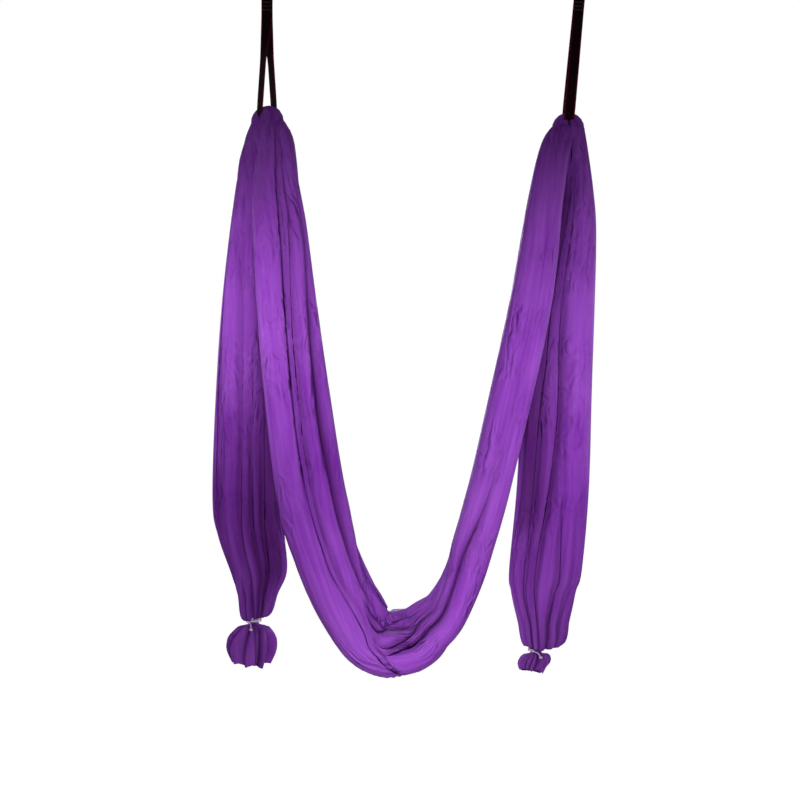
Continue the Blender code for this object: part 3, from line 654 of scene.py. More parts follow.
@dataclass(frozen=True)
class FoldPattern:
    """How a sheet lies in a section of a gathered bundle, drawn in a circle of radius 1.

    Broad bands lie round the outside. At each fold the sheet turns in, runs down a slot that curls
    towards the middle, and comes out again to make the next band.
    """

    closed_gap: float = 0.0008
    gap: float = 0.018
    closed_shoulder: float = 0.0010
    shoulder: float = 0.05
    closed_turn: float = 0.003
    turn: float = 0.036
    full_dip: float = 0.10
    dip_width: float = 0.17
    dip_power: float = 1.5
    dip_depth: float = 1.7
    dip_shift: float = 0.09
    most_lost: float = 0.55
    lap_angle: float = 0.24
    lap_step: float = 0.14
    recess_width: float = 0.55
    slot_end: float = 0.14
    # How far a slot curls round, and the radii between which it does
    curl: float = 2.7
    curl_start: float = 0.9
    curl_span: float = 0.75
    # A full lap opens its slot this many times as far as it needs to, and laps and dips under a
    # threshold leave it closed
    lap_opening: float = 1.8
    opening_start: float = 0.3
    wall_points: int = 6
    wall_top: float = 0.95
    wall_foot: float = 0.02
    bulge: float = 0.022
    full_band: float = 0.7
    most_bulge: float = 1.3
    flat_span: float = 0.06
    # Cloth further out than this lies on the outside and can be pressed in by a lap
    outer_radius: float = 0.55
    outer_span: float = 0.3
    # The lip of a band: place along the shoulder, share of the lap's reach, and share of the turn inward
    lip: tuple[Triple, ...] = (
        (-2.4, 0.0, 0.0),
        (-1.0, 0.2, 0.02),
        (-0.45, 0.75, 0.12),
        (0.0, 1.0, 0.5),
        (-0.05, 0.6, 1.0),
    )

    def twist(self, rho: Array) -> Array:
        """How far the slots have curled round at a radius."""
        return self.curl * smoothstep((self.curl_start - rho) / self.curl_span)

    def opening(self, lap: Array, dip: Array) -> Array:
        """How open a fold is: 0 where it hardly shows and 1 where its lap or dip is full."""
        strength = np.maximum(np.abs(lap) * self.lap_opening, dip / self.full_dip)
        return np.clip((strength - self.opening_start) / (1 - self.opening_start), 0, 1)

    def slot(self, angle: Array, lap: Array, dip: Array) -> list[tuple[Array, Array]]:
        """One fold's points, from the band before it to the band after it.

        Args:
            angle: The fold's angle in each section.
            lap: Its lap in each section.
            dip: Its dip in each section.

        Returns:
            Pairs of angle and radius arrays.
        """
        over, under = np.maximum(lap, 0), np.maximum(-lap, 0)
        opened = self.opening(lap, dip)
        gap = self.closed_gap + (self.gap - self.closed_gap) * opened
        shoulder = self.closed_shoulder + (self.shoulder - self.closed_shoulder) * opened
        turn = self.closed_turn + (self.turn - self.closed_turn) * opened
        base = angle + self.lap_angle * (under - over)
        near, far = base - gap, base + gap
        walls = []
        for share in np.linspace(0, 1, self.wall_points):
            walls.append((self.wall_top - turn) * (1 - share) + (self.slot_end + self.wall_foot) * share)
        points = []
        for lean, reach, drop in self.lip:
            points.append((near + shoulder * lean + self.lap_angle * reach * over, 1 - turn * drop))
        points += [(near + self.twist(rho), rho) for rho in walls]
        deepest = np.full_like(angle, self.slot_end)
        points.append((base + self.twist(deepest), deepest))
        points += [(far + self.twist(rho), rho) for rho in walls[::-1]]
        for lean, reach, drop in self.lip[::-1]:
            points.append((far - shoulder * lean - self.lap_angle * reach * under, 1 - turn * drop))
        spread = np.linspace(-self.flat_span, self.flat_span, len(points))
        return [
            ((base + at) * (1 - opened) + phi * opened, 1 - (1 - rho) * opened)
            for at, (phi, rho) in zip(spread, points)
        ]

    def draw(self, folds: FoldLines, band_points: tuple[int, ...]) -> tuple[Array, Array]:
        """Draws whole sections. The sheet's two selvedges meet at the first fold.

        Args:
            folds: All folds, with rising angles.
            band_points: How many points each band gets.

        Returns:
            Angles and radii of every point, one row per section.
        """
        angles, laps, dips = folds.angles, folds.laps, folds.dips
        count = angles.shape[1]
        first = self.slot(angles[:, 0], laps[:, 0], dips[:, 0])
        middle = len(first) // 2
        points = first[middle:]
        folded_at = [0]
        for i in range(count):
            last = i == count - 1
            k = (i + 1) % count
            turn = math.tau if last else 0.0
            slot = self.slot(angles[:, k] + turn, laps[:, k], dips[:, k])
            start, end = points[-1], slot[0]
            width = end[0] - start[0]
            for j in range(1, band_points[i] + 1):
                share = j / (band_points[i] + 1)
                fullness = np.clip(width / self.full_band, 0, self.most_bulge)
                crown = self.bulge * fullness * math.sin(math.pi * share)
                points.append((start[0] + width * share, start[1] + (end[1] - start[1]) * share + crown))
            folded_at.append(len(points) + middle)
            points += slot[: middle + 1] if last else slot
        phi = np.stack([p[0] for p in points], 1)
        rho = np.stack([p[1] for p in points], 1)
        return phi, rho * self.recess(phi, rho, folds, folded_at)

    def recess(self, phi: Array, rho: Array, folds: FoldLines, folded_at: list[int]) -> Array:
        """How much the cloth that lies under a lap is drawn in.

        Args:
            phi: Angles of all points.
            rho: Radii of all points.
            folds: All folds.
            folded_at: Column of each fold's deepest point, the closing one first and last.

        Returns:
            A factor for each point's radius.
        """
        columns = np.arange(phi.shape[1])[None, :]
        outside = smoothstep((rho - self.outer_radius) / self.outer_span)
        factor = np.ones_like(rho)
        angles, laps = folds.angles, folds.laps
        count = angles.shape[1]
        for k in range(count + 1):
            i = k % count
            whole_turn = math.tau if k == count else 0.0
            base = (angles[:, i] - self.lap_angle * laps[:, i] + whole_turn)[:, None]
            under = np.maximum(-laps[:, i], 0)[:, None] * (columns < folded_at[k])
            over = np.maximum(laps[:, i], 0)[:, None] * (columns > folded_at[k])
            # Full over the near half of the recess, and fading out over the other half
            near = 1 - smoothstep(((base - phi) / self.recess_width - 0.5) / 0.5)
            far = 1 - smoothstep(((phi - base) / self.recess_width - 0.5) / 0.5)
            factor *= 1 - self.lap_step * outside * (under * near + over * far)
        return factor

    def dip(self, phi: Array, folds: FoldLines) -> Array:
        """How much the valleys draw the cloth in. A valley lies on the lower side of its lap.

        Args:
            phi: Angles of all points.
            folds: All folds.

        Returns:
            The share of the radius that is lost at each point.
        """
        lost = np.zeros_like(phi)
        for i in range(folds.angles.shape[1]):
            middle = folds.angles[:, i : i + 1] + self.dip_shift * folds.laps[:, i : i + 1]
            away = np.abs(turned_back(phi - middle) / self.dip_width)
            lost += self.dip_depth * folds.dips[:, i : i + 1] * np.exp(-(away**self.dip_power))
        return np.minimum(lost, self.most_lost)


def spread_folds(front: list[Fold], hidden: int, last_station: float) -> list[Fold]:
    """Fills the back of a bundle with folds between the last front fold and the first.

    Sines of the fold's number make them uneven in place, lap and depth, and let them wander.

    Args:
        front: The listed folds, the closing one first.
        hidden: How many folds to add behind them.
        last_station: The last station's number.

    Returns:
        All folds in order round the section.
    """
    room_before, room_after = 22.0, 10
    stations = np.linspace(0, last_station, 23)
    low = np.degrees(front[-1].read(stations)[0]) + room_before
    high = np.degrees(front[0].read(stations)[0]) + 360 - room_after
    made = list(front)
    for k in range(hidden):
        share = (k + 0.5 + 0.2 * math.sin(2.4 * k)) / hidden
        lap = 0.8 * math.sin(1.9 * k + 0.4)
        drift = 1.5 * np.sin(stations * 0.55 + 1.7 * k)
        dips = 0.06 + 0.05 * np.sin(stations * 0.4 + 2.3 * k)
        angles = low + (high - low) * share + drift
        knots = zip(stations.tolist(), angles.tolist(), dips.tolist())
        made.append(Fold(tuple((station, angle, lap, dip) for station, angle, dip in knots)))
    return made


@dataclass(frozen=True)
class Ripples:
    """Small lengthwise ridges on the outside of a bundle, in metres."""

    seed: int
    ridge_height: float = 0.0010
    gather_height: float = 0.0004
    ridge_counts: tuple[int, ...] = (5, 8, 13, 21, 34)
    full_ridge_size: float = 0.06
    full_gather_size: float = 0.03

    def heights(self, along: Array, angle: Array, size: Array, gather: Array) -> Array:
        """Height of the ripples at every point.

        Args:
            along: Length along the cloth, one value per section.
            angle: Angle of each point round its section.
            size: Mean radius of each section.
            gather: 1 where a section is drawn together, falling to 0 where it hangs free.

        Returns:
            Heights, one row per section.
        """
        dice = np.random.default_rng(self.seed)
        run = along[:, None]
        wave = np.zeros_like(angle)
        for cycles in self.ridge_counts:
            lean, phase = dice.uniform(-2.5, 2.5), dice.uniform(0, math.tau)
            slow = 1 + 0.8 * np.sin(run * dice.uniform(2, 7) + phase)
            sway = 0.5 * np.sin(run * dice.uniform(3, 6)) + lean * run
            # Round troughs and sharp ridges, lower the more of them there are
            ridges = 1 - 2 * np.abs(np.sin(cycles / 2 * angle + sway + phase)) ** 0.8
            wave += slow * ridges * 6 / cycles
        height = self.ridge_height * wave * np.minimum(size / self.full_ridge_size, 1.2)[:, None]
        fine = np.sin(31 * angle + 2.1 * np.sin(3 * angle)) + 0.6 * np.sin(47 * angle + 1.3)
        room = np.minimum(size / self.full_gather_size, 1.0)[:, None]
        height += self.gather_height * fine * gather[:, None] * room
        return height


@dataclass
class Bundle:
    """Sections of gathered cloth along a centre line, one row each."""

    centres: Array
    inward: Array
    front: Array
    half_width: Array
    half_depth: Array
    stations: Array
    groove: Array
    gather: Array
    pucker: Array
    squareness: Array
    overhang: Array
    overhang_angle: Array
    # Painted shadow of the sling on a tail, and painted shade lower down
    sling_shadow: Array
    dusk: Array
    swell: Array
    swell_angle: Array
    swell_width: float = 0.8
    # Where round a section the painted shadow of the sling lies, and how wide it is
    sling_shadow_angle: float = math.radians(128)
    sling_shadow_width: float = math.radians(36)
    overhang_width: float = 0.45
    groove_width: float = math.radians(40)
    # Painted shade: the dip that gets it in full, its share at the gathered tops and from puckers, and the
    # radius inside which a slot is shaded
    full_shade_dip: float = 0.28
    gather_shade: float = 0.32
    pucker_shade: float = 0.3
    dark_radius: float = 0.72
    dark_span: float = 0.2
    ripple_radius: float = 0.8
    ripple_span: float = 0.12

    def length(self) -> Array:
        """Length along the centre line at each section."""
        return run_length(step_lengths(self.centres))

    def surface(
        self, folds: list[Fold], pattern: FoldPattern, ripples: Ripples, band_points: tuple[int, ...]
    ) -> tuple[Array, Array, Array]:
        """Lays the sheet through every section.

        Args:
            folds: All lengthwise folds in order.
            pattern: How the sheet lies at its folds.
            ripples: Its small relief.
            band_points: Points on each band.

        Returns:
            Points as (section, point, xyz), their places on the flat sheet, and how much painted shade each
            gets.
        """
        read = zip(*(fold.read(self.stations) for fold in folds))
        angles, laps, valleys = (np.stack(columns, 1) for columns in read)
        uneven = 1 + 0.5 * np.sin(2.1 * np.arange(len(folds)) + ripples.seed)
        plain = FoldLines(angles, laps, valleys)
        puckered = FoldLines(angles, laps, valleys + self.pucker[:, None] * uneven[None, :])
        phi, rho = pattern.draw(puckered, band_points)
        reach = 1 - self.groove[:, None] * bell(turned_back(phi), self.groove_width)
        bulges = []
        for way in (1, -1):
            side = turned_back(way * phi - self.overhang_angle[:, None])
            bulges.append(bell(side, self.overhang_width))
        reach = reach + self.overhang[:, None] * np.maximum(*bulges)
        size = np.sqrt(self.half_width * self.half_depth)
        beyond = turned_back(phi - self.swell_angle[:, None])
        reach = reach + (self.swell / size)[:, None] * bell(beyond, self.swell_width)
        power = self.squareness[:, None]
        square = (np.abs(np.cos(phi)) ** power + np.abs(np.sin(phi)) ** power) ** (-1 / power)
        lost = pattern.dip(phi, puckered)
        reach = reach * square * (1 - lost)
        outside = smoothstep((rho - self.ripple_radius) / self.ripple_span)
        lift = ripples.heights(self.length(), phi, size, self.gather) * outside
        wide = self.half_width[:, None] * reach * rho + lift
        deep = self.half_depth[:, None] * reach * rho + lift
        points = (
            self.centres[:, None]
            + self.inward[:, None] * (wide * np.cos(phi))[..., None]
            + self.front[:, None] * (deep * np.sin(phi))[..., None]
        )
        across = (phi - math.pi / 2) * size[:, None] + SHEET_WIDTH / 2
        flat = np.stack(np.broadcast_arrays(across, self.length()[:, None]), axis=-1)
        # Painted shade for each point: its own valleys, some of the puckers, lower down, beside the sling,
        # at the gathered tops and inside the slots
        own = pattern.dip(phi, plain)
        shade = own + self.pucker_shade * (lost - own)
        depth = np.clip(shade / self.full_shade_dip, 0, 1) + self.dusk[:, None]
        beside = turned_back(phi - self.sling_shadow_angle)
        depth = np.maximum(depth, self.sling_shadow[:, None] * bell(beside, self.sling_shadow_width))
        depth = np.maximum(depth, self.gather_shade * self.gather[:, None])
        depth = np.maximum(depth, 1 - smoothstep((rho - self.dark_radius) / self.dark_span))
        return points, flat, depth


def sheet_object(
    name: str, points: Array, flat: Array, depth: Array, cloth: Material, mirrored: bool = False
) -> Object:
    """Makes a cloth piece from the points of its sections.

    Args:
        name: The piece's name.
        points: Points as (section, point, xyz).
        flat: Their places on the flat sheet.
        depth: How much painted shade they get.
        cloth: Its finish.
        mirrored: Whether the sections run the other way round, so that the faces are turned.

    Returns:
        The cloth piece.
    """
    rows, columns = points.shape[:2]
    faces = grid_faces(rows, columns, False)
    if mirrored:
        faces = faces[:, ::-1]
    return mesh_object(name, points.reshape(-1, 3), faces, cloth, flat.reshape(-1, 2), depth=depth.ravel())


def overhang_angle(fall: Array | float) -> Array:
    """Where round the section the cloth bulges over the strap: in front of it, and lower down behind."""
    in_front, further_round, fall_to_behind = math.radians(135), math.radians(45), 0.05
    return in_front + further_round * smoothstep(fall / fall_to_behind)


# The cloth


@dataclass
class Sling:
    """The part of the sheet between the straps that a person sits or lies in."""

    saddles: dict[Side, Saddle]
    depth: float = 1.1885
    flat_length: float = 2.6
    seed: int = 7
    section_count: int = 188
    arch_sections: int = 11
    twist_fade: float = 0.30
    gather_length: float = 0.30
    gather_pucker: float = 0.03
    squared: float = 0.9
    trough_roll: float = math.radians(20)
    trough_groove: float = 0.62
    trough_length: float = 0.30
    crowding: float = 1.2
    # How far the cloth bulges over each strap, the tilt by which it does so, and how soon it ends below
    overhangs: Pair = (0.8, 1.15)
    overhang_tilt: float = 38
    overhang_fade: float = 0.055
    shoulder: float = 0.011
    tail_shoulder: float = 0.007
    shoulder_tilt: float = 80
    shoulder_fade: float = 0.09
    left_strand: tuple[Station, ...] = (
        (0.073, 0.034, -0.035, 0.046, 0.033),
        (0.167, 0.041, -0.047, 0.055, 0.041),
        (0.355, 0.069, -0.052, 0.066, 0.045),
        (0.543, 0.108, -0.052, 0.072, 0.046),
        (0.731, 0.156, -0.051, 0.076, 0.049),
        (0.825, 0.206, -0.046, 0.077, 0.054),
        (0.892, 0.257, -0.036, 0.081, 0.066),
        (0.940, 0.302, -0.026, 0.080, 0.080),
        (0.983, 0.347, -0.016, 0.073, 0.092),
        (0.998, 0.393, -0.012, 0.072, 0.098),
    )
    bottom: tuple[float, float, float, float] = (0.437, -0.010, 0.070, 0.100)
    right_strand: tuple[Station, ...] = (
        (0.060, 0.0546, -0.026, 0.029, 0.033),
        (0.155, 0.082, -0.049, 0.038, 0.041),
        (0.347, 0.130, -0.058, 0.046, 0.047),
        (0.537, 0.200, -0.059, 0.047, 0.050),
        (0.728, 0.276, -0.055, 0.046, 0.054),
        (0.823, 0.328, -0.045, 0.047, 0.060),
        (0.884, 0.366, -0.037, 0.045, 0.068),
        (0.943, 0.418, -0.024, 0.045, 0.084),
        (0.970, 0.466, -0.017, 0.053, 0.092),
        (0.992, 0.511, -0.012, 0.060, 0.098),
    )
    front_folds: tuple[Fold, ...] = (
        Fold(((0, -60, 0.5, 0.03), (2, -30, 0.6, 0.03), (7, -24, 0.6, 0.03), (9, -62, 0.6, 0.03),
            (11, -84, 0.6, 0.03), (14, -80, 0.6, 0.03), (22, -80, 0.5, 0.03))),
        Fold(((0, -40), (2, -5), (4, 8, 0, 0.01), (7, 6, 0, 0.01), (8, -12, 0, 0.02), (9, -44), (11, -70),
            (14, -66), (22, -66))),
        Fold(((0, -25), (2, 14, 0, 0.02), (2.95, 36, 0, 0.08), (3.45, 42, 0, 0.14), (4.26, 48, 0, 0.18),
            (4.9, 42, 0, 0.18), (5.56, 43, 0, 0.17), (6.53, 42, -0.2, 0.15), (7.2, 37, -0.4, 0.12),
            (7.9, 20, -0.5, 0.10), (8.6, -10, -0.5, 0.06), (9.6, -40, -0.3, 0.02), (11, -56), (14, -53),
            (22, -52))),
        Fold(((0, -10), (2, 28), (2.95, 50), (4.3, 58), (6.5, 54), (7.4, 50, 0, 0.04),
            (8.1, 43, -0.7, 0.08), (8.9, 12, -0.9, 0.09), (9.8, -17, -0.9, 0.09), (11.6, -37, -0.8, 0.06),
            (13.2, -38, -0.3, 0.02), (15, -40), (22, -40))),
        Fold(((0, 2), (2, 40), (2.95, 60), (4.3, 67), (6.5, 62), (7.6, 58), (8.6, 50, -0.7, 0.06),
            (9.2, 38, -1, 0.09), (9.8, 20, -1, 0.09), (11.1, -8, -0.9, 0.08), (12.9, -20, -0.5, 0.05),
            (14.5, -27), (22, -26))),
        Fold(((0, 10), (2, 50), (2.95, 68), (4.3, 76), (6.5, 70), (7.6, 63), (8.6, 57, -0.3, 0.02),
            (9.7, 68, -0.5, 0.05), (10.5, 63, -0.9, 0.10), (11.5, 50, -0.9, 0.12), (12.4, 34, -0.9, 0.11),
            (13.3, -4, -0.6, 0.07), (14.4, -13), (22, -12))),
        Fold(((0, 19, 0, 0.02), (0.9, 22, 0, 0.02), (1.65, 38, -0.2, 0.05), (2.5, 65, -0.4, 0.06),
            (3.3, 79, -0.6, 0.06), (4.04, 85, -0.7, 0.06), (4.5, 87, -0.7, 0.05), (5.2, 83, -0.5, 0.02),
            (6.3, 80), (7.45, 69), (8.6, 63), (9.7, 77, -0.2, 0), (10.5, 73, -0.7, 0.08),
            (11.8, 64, -0.6, 0.12), (13.8, 52, -0.3, 0.15), (14.8, 54, -0.2, 0.16), (15.9, 58, -0.1, 0.15),
            (16.6, 76, 0, 0.10), (17.3, 92, 0, 0.03), (18.2, 102, 0, 0.02), (20, 106, 0, 0.02),
            (22, 100, 0, 0.02))),
        Fold(((0, 36, -0.3, 0.03), (0.7, 38, -0.4, 0.05), (1.82, 66, -0.7, 0.07), (2.39, 85, -0.9, 0.07),
            (2.94, 89, -0.9, 0.06), (3.61, 94, -0.9, 0.05), (4.28, 98, -1, 0.05), (5.2, 93, -1, 0.04),
            (6.4, 91, -1, 0.04), (7.45, 78, -1, 0.04), (8.55, 70, -1, 0.04), (9.69, 88, -1, 0.04),
            (10.44, 111, -1, 0.04), (11.1, 150, -1, 0.03), (11.8, 184, -0.8, 0.02), (13, 192, -0.4, 0.02),
            (22, 180, 0, 0.02))),
        Fold(((0, 110), (2, 150), (5, 158), (8.5, 160), (10.5, 178), (11.5, 206), (13, 214), (22, 204))),
    )

    def stations(self) -> Array:
        """Centre line and half sizes at each station, from the left saddle to the right one."""
        left, right = self.saddles[Side.LEFT], self.saddles[Side.RIGHT]
        span = right.top.x - left.top.x
        bottom_z = left.top.z - self.depth
        legs = []
        for saddle, strand, way in ((left, self.left_strand, 1), (right, self.right_strand, -1)):
            fall = saddle.top.z - bottom_z
            leg = [(*saddle.strand_exit, saddle.bundle_half_height, saddle.bundle_half_width)]
            for down, inset, y, half_width, half_depth in strand:
                place = saddle.top.x + way * inset * span
                leg.append((place, y, saddle.top.z - down * fall, half_width, half_depth))
            legs.append(leg)
        inset, y, half_width, half_depth = self.bottom
        middle = (left.top.x + inset * span, y, bottom_z, half_width, half_depth)
        return np.array([*legs[0], middle, *legs[1][::-1]])

    def shares(self, rows: Array) -> Array:
        """Places sections along the centre line, closer together in the trough."""
        fine = np.linspace(0, 1, FINE_STEPS)
        line = catmull_rom(rows, fine)[:, :3]
        weight = 1 + self.crowding * self.trough(line[:, 2], rows[:, 2].min())
        length = run_length(step_lengths(line) * (weight[1:] + weight[:-1]) / 2)
        return np.interp(np.linspace(0, length[-1], self.section_count), length, fine)

    def trough(self, height: Array, lowest: float) -> Array:
        """1 at the bottom of the trough, falling to 0 at the trough's length above it."""
        return 1 - smoothstep((height - lowest) / self.trough_length)

    def joined(self, first: Array | float, middle: Array, last: Array | float) -> Array:
        """Joins values of the first arch, of the cloth between the straps and of the last arch.

        Args:
            first: One value per section of the first arch, or one for all of them.
            middle: One value per section between the arches.
            last: One value per section of the last arch, or one for all of them.

        Returns:
            One value per section of the sling.
        """
        shape = (self.arch_sections - 1, *middle.shape[1:])
        return np.concatenate([np.broadcast_to(first, shape), middle, np.broadcast_to(last, shape)])

    def bundle(self) -> Bundle:
        """Works out every section from saddle to saddle.

        Returns:
            The sling's sections.
        """
        left, right = self.saddles[Side.LEFT], self.saddles[Side.RIGHT]
        rows = self.stations()
        share = self.shares(rows)
        read = catmull_rom(rows, share)
        centres, half_width, half_depth = read[:, :3], read[:, 3], read[:, 4]
        ahead, behind = (catmull_rom(rows, share + step)[:, :3] for step in (0.004, -0.004))
        tangent = unit(ahead - behind)
        turned = 1 - smoothstep((left.centre.z - centres[:, 2]) / self.twist_fade)
        turned = np.where(share < 0.5, turned, 0.0)[:, None]
        front = np.array(left.front) * turned + np.array(FRONT) * (1 - turned)
        front = unit(front - tangent * (front * tangent).sum(1, keepdims=True))
        inward = unit(np.cross(front, tangent))
        trough = self.trough(centres[:, 2], rows[:, 2].min())
        roll = (self.trough_roll * trough)[:, None]
        rolled_front = front * np.cos(roll) - inward * np.sin(roll)
        rolled_inward = inward * np.cos(roll) + front * np.sin(roll)
        first_centres, first_out = left.arch(self.arch_sections, 0, 180)
        last_centres, last_out = right.arch(self.arch_sections, 180, 0)
        fall = np.minimum(left.centre.z - centres[:, 2], right.centre.z - centres[:, 2])
        gather = 1 - smoothstep(fall / self.gather_length)
        tilt = np.linspace(-90, 90, self.arch_sections)
        first_tilt = tilt[:-1]
        lapped = smoothstep(np.abs(tilt) / self.overhang_tilt)
        over = np.exp(-fall / self.overhang_fade) * np.where(share < 0.5, *self.overhangs)
        first_over = self.overhangs[0] * lapped[:-1] * (first_tilt > 0)
        swell = self.shoulder * bell(fall, self.shoulder_fade) * (share < 0.5)
        first_swell = np.where(first_tilt > 0, self.shoulder, self.tail_shoulder)
        first_swell = first_swell * smoothstep(np.abs(first_tilt) / self.shoulder_tilt)
        first_swell_angle = left.twist * np.sign(first_tilt)
        rounded = self.squared * ((1 - gather) * (1 - 0.8 * trough))
        last_station = len(rows) - 1
        none = self.joined(0.0, np.zeros(len(share)), 0.0)
        return Bundle(
            centres=self.joined(first_centres[:-1], centres, last_centres[1:]),
            inward=self.joined(first_out[:-1], rolled_inward, last_out[1:]),
            front=self.joined(np.array(left.front), rolled_front, np.array(right.front)),
            half_width=self.joined(left.bundle_half_height, half_width, right.bundle_half_height),
            half_depth=self.joined(left.bundle_half_width, half_depth, right.bundle_half_width),
            stations=self.joined(0.0, share * last_station, last_station),
            groove=self.joined(0.0, self.trough_groove * trough, 0.0),
            gather=self.joined(1.0, gather, 1.0),
            pucker=self.gather_pucker * self.joined(1.0, gather**2, 1.0),
            squareness=2 + self.joined(0.0, rounded, 0.0),
            overhang=self.joined(first_over, over, self.overhangs[1] * lapped[1:]),
            overhang_angle=self.joined(overhang_angle(0.0), overhang_angle(fall), overhang_angle(0.0)),
            sling_shadow=none,
            dusk=none,
            swell=self.joined(first_swell, swell, 0.0),
            swell_angle=self.joined(first_swell_angle, left.twist * turned[:, 0], 0.0),
        )

    def folds(self) -> list[Fold]:
        """All of the sling's folds in order round the section."""
        hidden, last_station = 7, 22
        return spread_folds(list(self.front_folds), hidden, last_station)

    def build(self, cloth: Material) -> Object:
        """Makes the sling's sheet.

        Args:
            cloth: Its finish.

        Returns:
            The piece, riding on the hammock.
        """
        sheet = self.bundle().surface(self.folds(), FoldPattern(), Ripples(self.seed), SLING_BANDS)
        piece = sheet_object("sling_cloth", *sheet, cloth)
        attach(piece, "hammock")
        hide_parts("fabric_sling")
        return piece


@dataclass
class Tail:
    """A free end of the sheet: tied in at its neck, with the last of the cloth ruffled below it."""

    saddle: Saddle
    drop: float
    stations: tuple[Station, ...]
    neck: Pair
    ruffle: tuple[Triple, ...]
    ruffle_shift: float
    front_folds: list[Fold]
    seed: int
    flat_length: float = 1.2
    section_count: int = 190
    neck_radius: float = 0.0148
    neck_length: float = 0.016
    fold_count: int = 16
    # Sections lie up to three times as close where the cloth is narrow
    neck_crowding: float = 2.0
    narrow_half_width: float = 0.045
    turn_fade: float = 0.16
    gather_length: float = 0.30
    neck_gather: float = 0.16
    puckers: Triple = (0.03, 0.07, 0.085)
    squared: float = 0.9
    overhang: float = 1.15
    overhang_fade: float = 0.055
    # Painted shadow of the sling on the side next to it, and how far down it starts and ends
    sling_shadow: float = 0.95
    sling_shadow_start: float = 0.01
    sling_shadow_fade: float = 0.16
    sling_shadow_end: float = 1.0
    sling_shadow_end_fade: float = 0.15
    # Painted shade all round it, lower down
    dusk: float = 0.0
    dusk_start: float = 0.50
    dusk_fade: float = 0.30
    shoulder: float = 0.0
    shoulder_fade: float = 0.07
    ruff_lift: float = 0.004
    # How far the bag droops over the neck, on which side most, how high up, and how it flares
    droop: float = 0.018
    droop_angle: float = math.radians(-60)
    droop_reach: float = 0.045
    droop_flare: float = 12
    hem_drop: float = 0.011
    hem_flare: float = 0.16
    hem_reach: float = 0.045
    scallops: tuple[int, ...] = (2, 5, 7, 11)

    def rows(self) -> Array:
        """Centre line and half sizes from the saddle to the hem."""
        saddle, pivot = self.saddle, np.array(self.saddle.tail_pivot)
        rows = [(*saddle.tail_exit, saddle.bundle_half_height, saddle.bundle_half_width)]
        for share, x, y, half_width, half_depth in self.stations:
            rows.append((*(pivot + np.array((x, y, -self.drop * share))), half_width, half_depth))
        top = pivot + np.array((*self.neck, -self.drop))
        rows.append((*top, self.neck_radius, self.neck_radius))
        end = top - np.array((0, 0, self.neck_length))
        rows.append((*end, self.neck_radius, self.neck_radius))
        for below, half_width, half_depth in self.ruffle:
            slide = self.ruffle_shift * smoothstep(below / 0.05)
            rows.append((*(end + np.array((slide, 0, -below))), half_width, half_depth))
        return np.array(rows)

    def bundle(self) -> Bundle:
        """Works out every section from the saddle to the hem.

        Returns:
            The tail's sections.
        """
        rows = self.rows()
        fine = np.linspace(0, 1, FINE_STEPS)
        line = catmull_rom(rows, fine)
        narrow = 1 + self.neck_crowding * (1 - smoothstep(line[1:, 3] / self.narrow_half_width))
        length = run_length(step_lengths(line[:, :3]) * narrow)
        share = np.interp(np.linspace(0, length[-1], self.section_count), length, fine)
        read = catmull_rom(rows, share)
        centres = read[:, :3]
        fall = self.saddle.centre.z - centres[:, 2]
        turned = (1 - smoothstep(fall / self.turn_fade))[:, None]
        way = -1 if self.saddle.side is Side.LEFT else 1
        outward = -np.array(self.saddle.to_strand)
        inward = unit(outward * turned + np.array((way, 0, 0)) * (1 - turned))
        front = unit(np.array(self.saddle.front) * turned + np.array(FRONT) * (1 - turned))
        neck_z = self.saddle.tail_pivot.z - self.drop
        from_neck = np.abs(centres[:, 2] - neck_z + self.neck_length / 2)
        near_neck = 1 - smoothstep(from_neck / self.neck_gather)
        gather = np.maximum(1 - smoothstep(fall / self.gather_length), near_neck)
        onset, span = 0.01, 0.03
        below = smoothstep((neck_z + onset - centres[:, 2]) / span)
        at_top, at_neck, at_ruffle = self.puckers
        least = self.neck_radius * 0.9
        # Painted shadow of the sling: it begins just below the top and ends lower down
        tucked = smoothstep((fall - self.sling_shadow_start) / self.sling_shadow_fade)
        untucked = 0.8 * smoothstep((fall - self.sling_shadow_end) / self.sling_shadow_end_fade)
        dusky = smoothstep((fall - self.dusk_start) / self.dusk_fade)
        return Bundle(
            centres=centres,
            inward=inward,
            front=front,
            half_width=np.maximum(read[:, 3], least),
            half_depth=np.maximum(read[:, 4], least),
            stations=share * (len(rows) - 1),
            groove=np.zeros(len(share)),
            gather=gather * (1 - below),
            pucker=at_top * gather**2 + at_neck * near_neck + at_ruffle * below,
            squareness=2 + self.squared * (1 - gather) * (1 - below),
            overhang=self.overhang * np.exp(-fall / self.overhang_fade),
            overhang_angle=overhang_angle(fall),
            sling_shadow=self.sling_shadow * tucked * (1 - untucked),
            dusk=self.dusk * dusky * (1 - below),
            swell=self.shoulder * bell(fall, self.shoulder_fade),
            swell_angle=-self.saddle.twist * turned[:, 0],
        )

    def unevenness(self, angle: Array, shift: float) -> Array:
        """Uneven lobes round the hem, about from -1 to 1."""
        lobes = np.zeros_like(angle)
        for i, count in enumerate(self.scallops):
            lobes += np.cos(count * angle + shift + self.seed + 2.3 * i) / math.sqrt(i + 1)
        return lobes / 2.2

    def scallop(self, points: Array) -> Array:
        """Lets the bag droop over the neck, and the hem's lobes hang lower and flare wider.

        Args:
            points: The sheet's points.

        Returns:
            The points with a drooping bag and a scalloped hem.
        """
        neck = np.array(self.saddle.tail_pivot) + np.array((*self.neck, -self.drop))
        away = points[..., :2] - neck[:2]
        angle = np.arctan2(away[..., 1], away[..., 0])
        rise = points[..., 2] - neck[2]
        onset = 0.010
        bag = smoothstep(rise / onset) * (1 - smoothstep((rise - onset) / self.droop_reach))
        facing = 0.5 + 0.5 * bell(turned_back(angle - self.droop_angle), 1.0)
        lowered = self.droop * bag * facing
        below = smoothstep((-rise - self.neck_length) / self.hem_reach)
        reach = np.linalg.norm(away, axis=-1)
